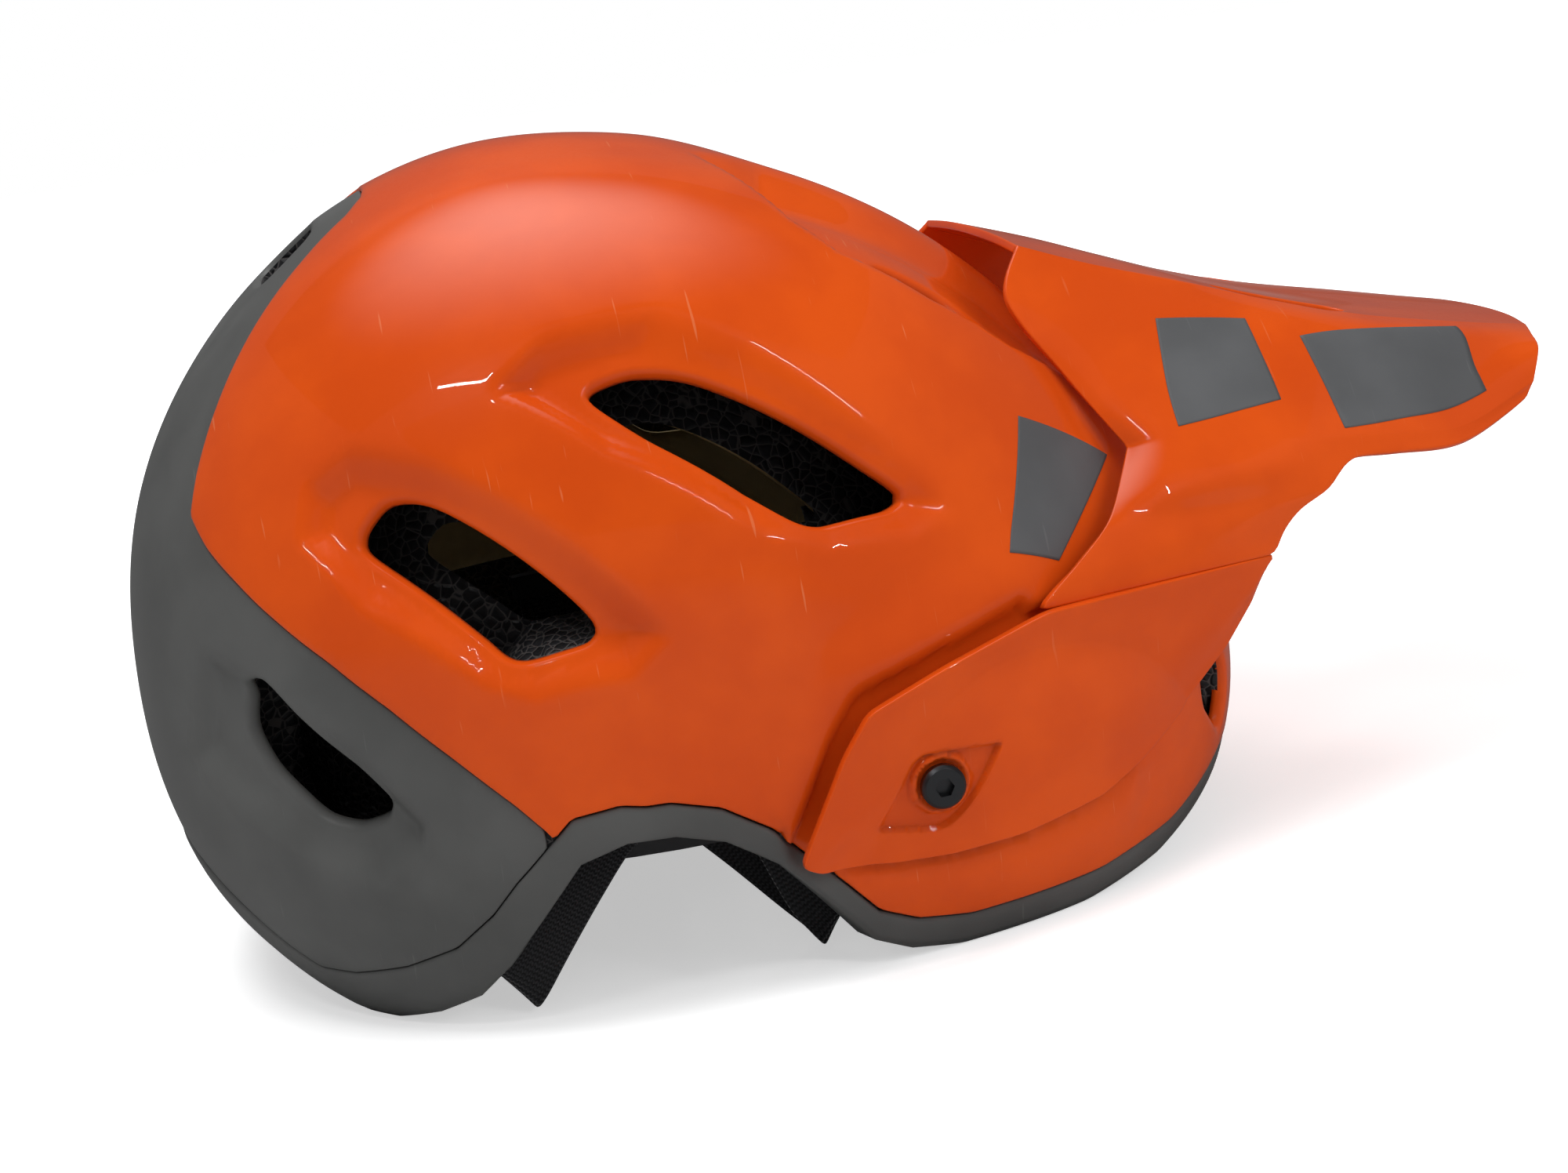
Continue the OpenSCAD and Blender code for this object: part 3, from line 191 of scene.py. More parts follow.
# the side arm's outline, seen from the side, ahead of the centre of the head
ARM_TOP = [(22.6, 37.5), (35, 60), (42, 69), (62, 74.5), (85, 79.5), (90, 80.4), (153.6, 77.4)]
ARM_LOW = [(22.6, 36), (27, 33), (45, 29.5), (60, 28), (78, 28), (100, 31), (112, 36), (126, 43.5),
           (140, 56), (148, 66), (153.6, 76.6)]
ARM_GAP = 2.6
PIVOT = np.array([73.0, 47.0])


def arm_outline():
    """The arm's edge on the right as shell angles, from its lower front round its rear to its top."""
    low = [(x, line_value(ARM_LOW, x)) for x in (104, 96, 88, 78, 68, 60, 52, 45, 36, 30, 27, 24.5)]
    top = [(x, line_value(ARM_TOP, x)) for x in (22.6, 26, 30, 35, 38.5, 42, 52, 62, 74, 85)]
    xz = np.array([(x + HEAD[0], z) for x, z in low + top])
    y = side_half_width(xz[:, 0], xz[:, 1])
    return angles_of(np.stack([xz[:, 0], -y, xz[:, 1]], 1))


def line_distance(line, uv):
    """Distance to an open line and the side of it that each point is on."""
    a, b = line[:-1], line[1:]
    ab = b - a
    best = np.full(len(uv), np.inf)
    side = np.zeros(len(uv))
    for p, e in zip(a, ab):
        t = np.clip(((uv - p) @ e) / (e @ e), 0, 1)
        q = uv - p - t[:, None] * e
        d = np.hypot(q[:, 0], q[:, 1])
        near = d < best
        best = np.where(near, d, best)
        side = np.where(near, np.sign(e[0] * q[:, 1] - e[1] * q[:, 0]), side)
    return best, side


ARM_EDGE = arm_outline()


def relief(uv):
    """How far the outer surface sinks or rises from the plain shell, in millimetres."""
    p = np.stack([uv[:, 0], -np.abs(uv[:, 1])], 1)
    h = np.zeros(len(p))
    for outline, depth, widths in SCOOPS:
        h -= depth * smooth_step(inside_depth(outline, p, widths))
    spine = SPINE_HEIGHT * smooth_step(1 - np.abs(p[:, 1]) / SPINE_WIDTH)
    h += spine * smooth_step((p[:, 0] + 40) / 12) * smooth_step((34 - p[:, 0]) / 20)
    d, side = line_distance(ARM_EDGE, p)
    d = d * side
    lip = LIP_HEIGHT * smooth_step(1 - (d - LIP_TOP) / LIP_FADE)
    slope = LEDGE_HEIGHT + (LIP_HEIGHT - LEDGE_HEIGHT) * (d - LEDGE_TOP) / (LIP_TOP - LEDGE_TOP)
    groove = -GROOVE_DEPTH * smooth_step((d + GROOVE_FROM) / GROOVE_FALL)
    ledge = groove + (LEDGE_HEIGHT - groove) * smooth_step((d - LEDGE_FOOT) / LEDGE_RISE)
    return h + np.where(d > LIP_TOP, lip, np.where(d > LEDGE_TOP, slope, ledge))


def raise_on(d, radius, offset):
    q = radius[:, None] * d
    return HEAD + q * (1 + offset / np.linalg.norm(q, axis=1))[:, None]


def outer_points(uv, offset):
    d = directions(uv)
    return raise_on(d, shell_radius(d) + relief(uv), offset)


def plain_points(uv, offset):
    d = directions(uv)
    return raise_on(d, shell_radius(d), offset)


def foam_thickness(d):
    w = d[:, 1] ** 2
    fore = np.where(d[:, 0] > 0, 36.0, 32.0)
    k = d[:, 0] ** 2 / np.maximum(d[:, 0] ** 2 + d[:, 2] ** 2, 1e-9)
    return 24.0 * w + (fore * k + 30.0 * (1 - k)) * (1 - w)


def inner_points(uv, offset):
    d = directions(uv)
    return raise_on(d, shell_radius(d), offset - foam_thickness(d))


def polar(azimuth, rho):
    return np.stack([rho * np.cos(np.radians(azimuth)), rho * np.sin(np.radians(azimuth))], 1)


def angle_at_height(surface, azimuth, height, offset):
    """The angle from the crown at which a surface passes a height, at each azimuth."""
    azimuth = np.asarray(azimuth, float)
    lo, hi = np.full(azimuth.shape, 40.0), np.full(azimuth.shape, 150.0)
    for _ in range(18):
        mid = (lo + hi) / 2
        above = surface(polar(azimuth, mid), np.broadcast_to(offset, mid.shape))[:, 2] > height
        lo, hi = np.where(above, mid, lo), np.where(above, hi, mid)
    return (lo + hi) / 2


def inner_at(azimuth, height, offset):
    a = np.array([float(azimuth)])
    p = inner_points(polar(a, angle_at_height(inner_points, a, height, offset)), np.array([offset]))[0]
    return np.array([p[0], p[1], height])


def rounded(outline, passes=3, cut=0.17):
    """A closed outline with its corners cut back a few times, walked in small even steps."""
    p = np.asarray(outline, float)
    for _ in range(passes):
        q = np.roll(p, -1, 0)
        p = np.stack([p + (q - p) * cut, q + (p - q) * cut], 1).reshape(-1, 2)
        cut = 0.25
    return walked(p)


def walked(p, step=0.5, closed=True):
    q = np.vstack([p, p[:1]]) if closed else p
    run = np.concatenate([[0], np.cumsum(np.linalg.norm(np.diff(q, axis=0), axis=1))])
    n = max(8, int(run[-1] / step))
    t = np.linspace(0, run[-1], n + 1)
    out = np.stack([np.interp(t, run, q[:, 0]), np.interp(t, run, q[:, 1])], 1)
    return out[:-1] if closed else out


def grown(loop, by):
    """A closed outline moved outwards by a distance."""
    t = np.roll(loop, -1, 0) - np.roll(loop, 1, 0)
    t = t / np.linalg.norm(t, axis=1, keepdims=True)
    n = np.stack([t[:, 1], -t[:, 0]], 1)
    area = np.sum(loop[:, 0] * np.roll(loop[:, 1], -1) - loop[:, 1] * np.roll(loop[:, 0], -1))
    return loop + n * by * np.sign(area)


def mirrored(loop):
    return loop[::-1] * np.array([1.0, -1.0])


def both_sides(loops):
    return [side for loop in loops for side in (loop, mirrored(loop))]


def nearest_on(a, b, points):
    """The distance and the place of the nearest point on the edges from a to b, for each point."""
    ab = b - a
    t = np.clip(((points[:, None] - a) * ab).sum(-1) / (ab**2).sum(1), 0, 1)
    places = a + t[..., None] * ab
    distance = np.linalg.norm(points[:, None] - places, axis=-1)
    j = distance.argmin(1)
    rows = np.arange(len(points))
    return distance[rows, j], places[rows, j]


def in_parts(picked):
    """The numbers of the picked points, a few thousand at a time."""
    index = np.where(picked)[0]
    return [index[k:k + 3000] for k in range(0, len(index), 3000)]


def signed_distance(loop, pts, reach):
    """Signed distance to a closed outline, negative inside, with its nearest point, where within reach."""
    far = np.full(len(pts), np.inf)
    near_point = pts.copy()
    lo, hi = loop.min(0) - reach, loop.max(0) + reach
    a, b = loop, np.roll(loop, -1, 0)
    run, rise = (b - a).T
    rise = np.where(rise == 0, 1e-12, rise)
    for idx in in_parts(((pts > lo) & (pts < hi)).all(1)):
        x, y = pts[idx, :1], pts[idx, 1:]
        d, q = nearest_on(a, b, pts[idx])
        crossed = ((a[:, 1] > y) != (b[:, 1] > y)) & (x < a[:, 0] + (y - a[:, 1]) * run / rise)
        far[idx] = np.where(crossed.sum(1) % 2 == 1, -d, d)
        near_point[idx] = q
    return far, near_point


def flat_points(bm):
    return np.array([v.co[:] for v in bm.verts], float).reshape(-1, 3)


def set_points(bm, points):
    for v, p in zip(bm.verts, points.tolist()):
        v.co = p


def cut_grid(step, keep, holes, creases=()):
    """A flat square grid in angles, trimmed to an outline and round holes."""
    bm = bmesh.new()
    count = int(round(2 * REACH / step))
    bmesh.ops.create_grid(bm, x_segments=count, y_segments=count, size=REACH)
    return trim_grid(bm, step, keep, holes, creases)


def trim_grid(bm, step, keep, holes, creases=()):
    """Trims a flat grid to an outline and round holes, with its edges on their lines and on the creases."""
    pts = flat_points(bm)[:, :2]
    value, nearest = signed_distance(keep, pts, FAR)
    for hole in holes:
        f, q = signed_distance(hole, pts, 2 * step)
        f = np.where(np.isinf(f), -np.inf, -f)
        closer = (np.abs(f) < np.abs(value)) | (f > 0)
        value, nearest = np.where(closer, f, value), np.where(closer[:, None], q, nearest)
    on_line = np.abs(value) < 0.5 * step
    pts = np.where(on_line[:, None], nearest, pts)
    free = ~on_line & (value < -step)
    for crease in creases:
        close = free & ((pts > crease.min(0) - step) & (pts < crease.max(0) + step)).all(1)
        for idx in in_parts(close):
            d, q = nearest_on(crease[:-1], crease[1:], pts[idx])
            near = d < 0.38 * step
            pts[idx[near]] = q[near]
            free[idx[near]] = False
    dead = (value >= 0.5 * step) & ~on_line
    for v, p in zip(bm.verts, pts.tolist()):
        v.co = (p[0], p[1], 0.0)
    bm.verts.index_update()
    splits = []
    for face in bm.faces:
        vs = face.verts[:]
        gone = [dead[v.index] for v in vs]
        if sum(gone) == 1 and len(vs) == 4:
            k = gone.index(True)
            if on_line[vs[k - 1].index] and on_line[vs[(k + 1) % 4].index]:
                splits.append((face, vs[k - 1], vs[(k + 1) % 4]))
    dead_verts = [v for v in bm.verts if dead[v.index]]
    for face, a, b in splits:
        bmesh.utils.face_split(face, a, b)
    bmesh.ops.delete(bm, geom=dead_verts, context="VERTS")
    faces = bm.faces[:]
    mids = np.array([f.calc_center_median()[:2] for f in faces])
    lost = signed_distance(keep, mids, FAR)[0] > 0.02
    for hole in holes:
        lost |= signed_distance(hole, mids, 2 * step)[0] < -0.02
    bmesh.ops.delete(bm, geom=[f for f, gone in zip(faces, lost) if gone], context="FACES")
    bmesh.ops.remove_doubles(bm, verts=bm.verts[:], dist=0.12 * step)
    bm.normal_update()
    edge_faces = {e.link_faces[0] for e in boundary(bm)}
    slivers = [f for f in edge_faces if f.normal.z < 0.2 or f.calc_area() < 0.05 * step * step]
    bmesh.ops.delete(bm, geom=slivers, context="FACES")
    return bm


def boundary(bm):
    return [e for e in bm.edges if e.is_boundary]


def extrude_rim(bm, edges, steps, shift):
    """Extrudes a boundary in steps. shift(step, points, outward) gives each step's flat points."""
    verts = list({v for e in edges for v in e.verts})
    start = np.array([v.co[:] for v in verts])
    out = np.zeros((len(verts), 2))
    place = {v: i for i, v in enumerate(verts)}
    for e in edges:
        face = e.link_faces[0]
        mid = face.calc_center_median()
        a, b = e.verts
        t = np.array([b.co.x - a.co.x, b.co.y - a.co.y])
        n = np.array([t[1], -t[0]]) / max(np.hypot(*t), 1e-9)
        if n @ np.array([mid.x - a.co.x, mid.y - a.co.y]) > 0:
            n = -n
        out[place[a]] += n
        out[place[b]] += n
    out /= np.maximum(np.linalg.norm(out, axis=1, keepdims=True), 1e-9)
    for k in range(1, steps + 1):
        new = bmesh.ops.extrude_edge_only(bm, edges=edges)["geom"]
        fresh = {g for g in new if isinstance(g, bmesh.types.BMVert)}
        moved = shift(k, start, out)
        nxt = {}
        for v in fresh:
            for e in v.link_edges:
                o = e.other_vert(v)
                if o in place and o not in fresh:
                    nxt[v] = place[o]
                    v.co = moved[place[o]].tolist()
                    break
        edges = [g for g in new if isinstance(g, bmesh.types.BMEdge)
                 and g.verts[0] in fresh and g.verts[1] in fresh]
        place = nxt
    return edges


def to_metres(points):
    return (np.asarray(points, float) - np.array([SHIFT_X, 0.0, 0.0])) / 1000.0


def mesh_of(bm, name):
    mesh = bpy.data.meshes.new(name)
    bm.to_mesh(mesh)
    bm.free()
    return mesh


def placed(name, data):
    """A new object in the scene."""
    thing = bpy.data.objects.new(name, data)
    bpy.context.scene.collection.objects.link(thing)
    return thing


def piece_from(bm, name, body, finish, replaces):
    """Makes the object of a finished mesh, in metres, riding on its body."""
    name = name.replace(" ", "_")
    set_points(bm, to_metres(flat_points(bm)))
    mesh = mesh_of(bm, name)
    mesh.polygons.foreach_set("use_smooth", [True] * len(mesh.polygons))
    piece = placed(name, mesh)
    mesh.materials.append(material(finish))
    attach(piece, body)
    if replaces:
        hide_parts(*replaces)
    return piece


def face_outwards(bm, centre):
    """Turns a sheet over if its faces look towards a point instead of away from it."""
    total = 0.0
    for f in bm.faces:
        total += f.normal.dot(f.calc_center_median() - Vector(centre)) * f.calc_area()
    if total < 0:
        bmesh.ops.reverse_faces(bm, faces=bm.faces[:])


def thicken(piece, thickness):
    wall = piece.modifiers.new("Wall", "SOLIDIFY")
    wall.thickness = thickness
    wall.offset = -1.0
    wall.use_even_offset = False


def soften(piece, width):
    """Joins the loose triangles of a moulding and rounds its sharp edges."""
    piece.modifiers.new("Joined", "WELD").merge_threshold = 0.00002
    edge = piece.modifiers.new("Soft edges", "BEVEL")
    edge.width = width
    edge.segments = 2
    edge.limit_method = "ANGLE"
    edge.angle_limit = math.radians(40)
    edge.harden_normals = False


def length(label, text, default):
    return FloatProperty(name=label, description=text, default=default, unit="LENGTH")


def tint_of(label, text, default):
    return FloatVectorProperty(name=label, description=text, subtype="COLOR", size=3, default=default)


class HelmetSizes(bpy.types.PropertyGroup):
    grid_step: FloatProperty(
        name="Shell grid", description="Degrees between the points of the skins", default=0.85, min=0.5,
        max=4)
    visor_grid: FloatProperty(
        name="Visor grid", description="Spacing of the visor's points in millimetres", default=1.4, min=0.8,
        max=5)
    arm_grid: FloatProperty(
        name="Arm grid", description="Spacing of the arms' points in millimetres", default=0.75, min=0.4,
        max=3)
    foam_cuts: IntProperty(
        name="Foam rings", description="Rings of faces down each vent wall", default=6, min=1, max=12)
    vent_roll: length("Vent roll", "Radius of the rolled vent edges", 0.0023)
    edge_roll: length("Edge roll", "Radius of the upper skin's outer edge", 0.001)
    skin_wall: length("Skin", "Thickness of the upper skin", 0.001)
    edge_round: length("Edge radius", "Radius of the visor's and arms' edges", 0.0005)
    visor_wall: length("Visor", "Thickness of the visor", 0.0022)
    arm_wall: length("Arm", "Thickness of the side arms", 0.003)
    slip_wall: length("Slip liner", "Thickness of the slip liner", 0.0008)
    pad_wall: length("Pads", "Thickness of the comfort pads", 0.005)
    web_width: length("Webbing width", "Width of the webbing", 0.018)
    web_wall: length("Webbing", "Thickness of the webbing", 0.0014)


class HelmetColours(bpy.types.PropertyGroup):
    orange: tint_of("Orange", "Shell and visor", (0.74, 0.088, 0.006))
    grey: tint_of("Grey", "Rear skin and trim", (0.082, 0.083, 0.080))
    block: tint_of("Blocks", "Plain painted blocks", (0.085, 0.087, 0.09))
    foam: tint_of("Foam", "Bead foam", (0.012, 0.012, 0.013))
    liner: tint_of("Slip liner", "Low friction sheet", (0.42, 0.30, 0.12))
    cloth: tint_of("Cloth", "Pads and webbing", (0.014, 0.014, 0.016))
    fitting: tint_of("Fittings", "Black moulded fittings", (0.018, 0.018, 0.02))


def sizes():
    return bpy.context.scene.helmet_sizes


# materials


def put(socket, value):
    """Links another node's output to a socket, or sets the socket's own value."""
    if isinstance(value, bpy.types.NodeSocket):
        socket.id_data.links.new(value, socket)
    elif socket.type == "RGBA":
        socket.default_value = (*value, 1)
    else:
        socket.default_value = value


def fill(node, **values):
    """Sets a node's properties and sockets by their names."""
    for key, value in values.items():
        if hasattr(node, key):
            setattr(node, key, value)
        else:
            put(node.inputs[key.replace("_", " ")], value)
    return node


def add_node(tree, kind, **values):
    return fill(tree.nodes.new(kind), **values)


def math_node(operation, *values, clamp=False):
    """A maths node over numbers and other nodes' outputs."""
    tree = next(v.id_data for v in values if isinstance(v, bpy.types.NodeSocket))
    node = add_node(tree, "ShaderNodeMath", operation=operation, use_clamp=clamp)
    for socket, value in zip(node.inputs, values):
        put(socket, value)
    return node.outputs[0]


def times(a, b):
    return math_node("MULTIPLY", a, b)


def plus(a, b):
    return math_node("ADD", a, b)


def mix_colour(factor, a, b):
    node = add_node(factor.id_data, "ShaderNodeMix", data_type="RGBA")
    for k, value in ((0, factor), (6, a), (7, b)):
        put(node.inputs[k], value)
    return node.outputs[2]


def ramp(value, low, high):
    return add_node(value.id_data, "ShaderNodeMapRange", interpolation_type="SMOOTHSTEP",
                    From_Min=low, From_Max=high, Value=value).outputs["Result"]


def object_place(tree):
    return add_node(tree, "ShaderNodeTexCoord").outputs["Object"]


def from_middle(tree):
    """The distance from the middle of the object."""
    away = add_node(tree, "ShaderNodeVectorMath", operation="LENGTH")
    put(away.inputs[0], object_place(tree))
    return away.outputs["Value"]


def new_group(name, **numbers):
    """A node group with number inputs, and the outputs of its input node."""
    tree = bpy.data.node_groups.new(name, "ShaderNodeTree")
    for socket, value in numbers.items():
        tree.interface.new_socket(name=socket.replace("_", " "), in_out="INPUT",
                                  socket_type="NodeSocketFloat").default_value = value
    return tree, add_node(tree, "NodeGroupInput").outputs


def finish_group(tree, **results):
    """Gives a node group its named outputs."""
    for name, value in results.items():
        kind = "NodeSocketVector" if value.type == "VECTOR" else "NodeSocketFloat"
        tree.interface.new_socket(name=name, in_out="OUTPUT", socket_type=kind)
    add_node(tree, "NodeGroupOutput", **results)
    return tree


def grain_group():
    """Fine moulded grain with a slow cloudiness."""
    tree, given = new_group("Moulded grain", Fine_scale=2500.0, Bump=0.1, Distance=0.0001)
    place = object_place(tree)
    fine = add_node(tree, "ShaderNodeTexNoise", Detail=3.0, Vector=place,
                    Scale=given["Fine scale"]).outputs["Fac"]
    cloud = add_node(tree, "ShaderNodeTexNoise", Scale=28.0, Detail=4.0, Vector=place)
    bump = add_node(tree, "ShaderNodeBump", Height=fine, Strength=given["Bump"], Distance=given["Distance"])
    return finish_group(tree, Cloud=cloud.outputs["Fac"], Fine=fine, Normal=bump.outputs["Normal"])


def dust_group():
    """Sparse dark specks and short hairline scuffs, as masks."""
    tree, given = new_group("Specks and scuffs", Speck_amount=0.5, Scuff_amount=0.5)
    place = object_place(tree)
    cells = add_node(tree, "ShaderNodeTexVoronoi", Scale=38.0, Vector=place)
    picked = math_node("GREATER_THAN", cells.outputs["Color"], 0.82)
    dot = math_node("LESS_THAN", cells.outputs["Distance"], 0.022)
    turn = add_node(tree, "ShaderNodeMapping", Rotation=(0.3, 0.5, 0.9), Scale=(900.0, 60.0, 60.0),
                    Vector=place)
    hair = add_node(tree, "ShaderNodeTexNoise", Scale=1.0, Detail=1.0, Vector=turn.outputs["Vector"])
    scuff = ramp(hair.outputs["Fac"], 0.74, 0.80)
    return finish_group(tree, Specks=times(times(picked, dot), given["Speck amount"]),
                        Scuffs=times(scuff, given["Scuff amount"]))


def weave_group():
    """Cross-ribbed webbing weave, from the piece's own UV map in metres: its height, and a painted sheen
    that is brightest on the ribs' tops.
    """
    tree, given = new_group("Webbing weave", Rib_pitch=0.0011, Yarn_pitch=0.0009)
    uv = add_node(tree, "ShaderNodeUVMap").outputs["UV"]
    split = add_node(tree, "ShaderNodeSeparateXYZ", Vector=uv)
    phase = times(math_node("DIVIDE", split.outputs["Y"], given["Rib pitch"]), math.tau)
    yarn = times(math_node("DIVIDE", split.outputs["X"], given["Yarn pitch"]), math.tau)
    rib = math_node("SINE", plus(phase, times(math_node("SINE", yarn), 0.9)))
    ends = math_node("SINE", times(yarn, 2.0))
    height = math_node("ADD", plus(times(rib, 0.4), times(ends, 0.14)), 0.5, clamp=True)
    # the painted sheen: the weave's height squared, lightest on the ribs' tops and darkest in the valleys
    return finish_group(tree, Height=height, Sheen=math_node("POWER", height, 2.0))


def bead_group():
    """Expanded bead foam: flattened round cells with thin lighter joints."""
    tree, given = new_group("Foam beads", Bead_scale=360.0)
    place = object_place(tree)
    wobble = add_node(tree, "ShaderNodeTexNoise", Scale=260.0, Detail=1.0, Vector=place)
    shift = add_node(tree, "ShaderNodeVectorMath", operation="MULTIPLY_ADD")
    for socket, value in zip(shift.inputs, (wobble.outputs["Color"], (0.0011, 0.0011, 0.0011), place)):
        put(socket, value)
    edge, bead = (
        add_node(tree, "ShaderNodeTexVoronoi", feature=feature, Vector=shift.outputs[0],
                 Scale=given["Bead scale"])
        for feature in ("DISTANCE_TO_EDGE", "F1"))
    gap = edge.outputs["Distance"]
    joint = math_node("SUBTRACT", 1.0, ramp(gap, 0.015, 0.085))
    return finish_group(tree, Joint=joint, Tone=bead.outputs["Color"], Height=ramp(gap, 0.0, 0.3))


GROUPS = {}


def use_group(tree, build, **values):
    """Places a node group, built at its first use, and gives its outputs."""
    if build not in GROUPS:
        GROUPS[build] = build()
    return add_node(tree, "ShaderNodeGroup", node_tree=GROUPS[build], **values).outputs


def shader_of(name, **values):
    """A new material with its Principled BSDF, whose plain sockets are set by name."""
    mat = bpy.data.materials.new(name)
    mat.use_nodes = True
    bsdf = next(n for n in mat.node_tree.nodes if n.type == "BSDF_PRINCIPLED")
    return mat, mat.node_tree, fill(bsdf, **values)


def scaled(colour, share):
    return tuple(c * share for c in colour)


def gloss_orange(name, tint, specks=0.7, scuffs=0.25):
    """Orange moulded skin under a clear coat."""
    mat, tree, bsdf = shader_of(name, Coat_Weight=0.6, Coat_Roughness=0.02, Specular_IOR_Level=0.06)
    grain = use_group(tree, grain_group, Fine_scale=950.0, Bump=0.05, Distance=0.00008)
    dust = use_group(tree, dust_group, Speck_amount=specks, Scuff_amount=scuffs)
    base = tuple(tint)
    deep = (base[0] * 0.88, base[1] * 0.80, base[2] * 0.9)
    colour = mix_colour(ramp(grain["Cloud"], 0.35, 0.7), deep, base)
    colour = mix_colour(dust["Scuffs"], colour, (0.85, 0.35, 0.16))
    colour = mix_colour(dust["Specks"], colour, (0.05, 0.02, 0.012))
    rough = plus(plus(times(grain["Fine"], 0.10), 0.26), times(dust["Scuffs"], 0.3))
    fill(bsdf, Base_Color=colour, Roughness=rough, Normal=grain["Normal"])
    return mat


def satin_grey(name, tint, rough=0.42, bump=0.22):
    """Satin moulding with a fine grain and faint rubbed patches."""
    mat, tree, bsdf = shader_of(name, Specular_IOR_Level=0.42)
    grain = use_group(tree, grain_group, Fine_scale=2600.0, Bump=bump, Distance=0.00008)
    dust = use_group(tree, dust_group, Speck_amount=0.35, Scuff_amount=0.4)
    colour = mix_colour(ramp(grain["Cloud"], 0.35, 0.72), tuple(tint), scaled(tint, 1.28))
    colour = mix_colour(dust["Scuffs"], colour, scaled(tint, 1.9))
    colour = mix_colour(dust["Specks"], colour, scaled(tint, 2.6))
    fill(bsdf, Base_Color=colour, Roughness=plus(times(grain["Cloud"], 0.16), rough - 0.06),
         Normal=grain["Normal"])
    return mat


def bead_foam(name, tint):
    """Near-black bead foam with paler joints."""
    mat, tree, bsdf = shader_of(name, Specular_IOR_Level=0.35)
    beads = use_group(tree, bead_group, Bead_scale=370.0)
    tone = mix_colour(beads["Tone"], tuple(tint), scaled(tint, 2.2))
    colour = mix_colour(times(beads["Joint"], 0.8), tone, (0.11, 0.10, 0.095))
    bump = add_node(tree, "ShaderNodeBump", Strength=0.6, Distance=0.0006, Height=beads["Height"])
    fill(bsdf, Base_Color=colour, Roughness=plus(times(beads["Joint"], 0.35), 0.36),
         Normal=bump.outputs["Normal"])
    return mat


def webbing_cloth(name, tint):
    """Black ribbed webbing, painted lighter on its ribs' tops as a painted sheen and darker in the valleys
    between them as painted shade.
    """
    mat, tree, bsdf = shader_of(name, Roughness=0.72, Sheen_Weight=0.25, Sheen_Roughness=0.4)
    weave = use_group(tree, weave_group, Rib_pitch=0.0013, Yarn_pitch=0.0012)
    # painted light: the colour is dark in the weave's valleys as painted shade and light on its raised ribs
    # as a painted sheen
    colour = mix_colour(weave["Sheen"], scaled(tint, 0.3), scaled(tint, 1.7))
    bump = add_node(tree, "ShaderNodeBump", Strength=0.9, Distance=0.00035, Height=weave["Height"])
    fill(bsdf, Base_Color=colour, Normal=bump.outputs["Normal"])
    return mat


def pad_knit(name, tint):
    """Dark brushed knit over soft foam."""
    mat, tree, bsdf = shader_of(name, Roughness=0.9, Sheen_Weight=0.45, Sheen_Roughness=0.5)
    grain = use_group(tree, grain_group, Fine_scale=1500.0, Bump=0.6, Distance=0.00025)
    colour = mix_colour(grain["Fine"], scaled(tint, 0.7), scaled(tint, 2.4))
    fill(bsdf, Base_Color=colour, Normal=grain["Normal"])
    return mat


def metal_finish(name, tint, rough):
    """Turned metal with a faint cloudiness."""
    mat, tree, bsdf = shader_of(name, Metallic=1.0)
    grain = use_group(tree, grain_group, Fine_scale=3800.0, Bump=0.08, Distance=0.00004)
    colour = mix_colour(grain["Cloud"], scaled(tint, 0.85), scaled(tint, 1.15))
    fill(bsdf, Base_Color=colour, Roughness=plus(times(grain["Fine"], 0.12), rough - 0.05),
         Normal=grain["Normal"])
    return mat


MATERIALS = {}


def material(name):
    if name not in MATERIALS:
        c = bpy.context.scene.helmet_colours
        build, *values = {
            "shell orange": (gloss_orange, c.orange),
            "visor orange": (gloss_orange, c.orange, 0.1, 0.12),
            "rear grey": (satin_grey, c.grey),
            "trim grey": (satin_grey, scaled(c.grey, 0.95), 0.5, 0.3),
            "block grey": (satin_grey, c.block, 0.5, 0.12),
            "bead foam": (bead_foam, c.foam),
            "slip sheet": (satin_grey, c.liner, 0.45, 0.1),
            "pad knit": (pad_knit, c.cloth),
            "webbing": (webbing_cloth, c.cloth),
            "fitting black": (satin_grey, c.fitting, 0.45, 0.25),
            "gear nylon": (satin_grey, (0.5, 0.49, 0.45), 0.5, 0.2),
            "insert brass": (metal_finish, (0.78, 0.58, 0.28), 0.3),
            "screw steel": (metal_finish, (0.10, 0.104, 0.11), 0.38),
        }[name]
        MATERIALS[name] = build(name, *values)
    return MATERIALS[name]


# outlines that the pieces share

AZIMUTHS = np.arange(-180.0, 180.0, 0.75)
CUT_LONG, CUT_SIDE, CUT_REAR = rounded(LONG_VENT), rounded(SIDE_VENT), rounded(REAR_VENT)
CUT_FRONT, CUT_BROW, CUT_NAPE = rounded(FRONT_VENT), rounded(BROW_VENT), rounded(NAPE_VENT)


def band_height(azimuth):
    return curve_value(RIM, azimuth) + curve_value(BAND, azimuth)


def top_edge(azimuth):
    b = angle_at_height(outer_points, azimuth, band_height(azimuth) + 0.5, SKIN)
    return np.where(np.abs(azimuth) > 106.9, np.minimum(b, curve_value(SPLIT, azimuth)), b)


def rear_edge(azimuth):
    b = angle_at_height(outer_points, azimuth, band_height(azimuth) + 0.5, 0.0)
    return np.maximum(b, curve_value(SPLIT, azimuth) + 0.6)


def roll_over(bm, edges, radius, steps, drop):
    """Rolls boundary edges over by a quarter turn, then straight down."""

    def shift(k, start, out):
        turn = min(1.0, k / steps) * math.pi / 2
        extra = drop if k > steps else 0.0
        uv = start[:, :2] + out * radius / PER_DEGREE * math.sin(turn)
        return np.column_stack([uv, start[:, 2] - radius * (1 - math.cos(turn)) - extra])

    extrude_rim(bm, edges, steps + 1, shift)


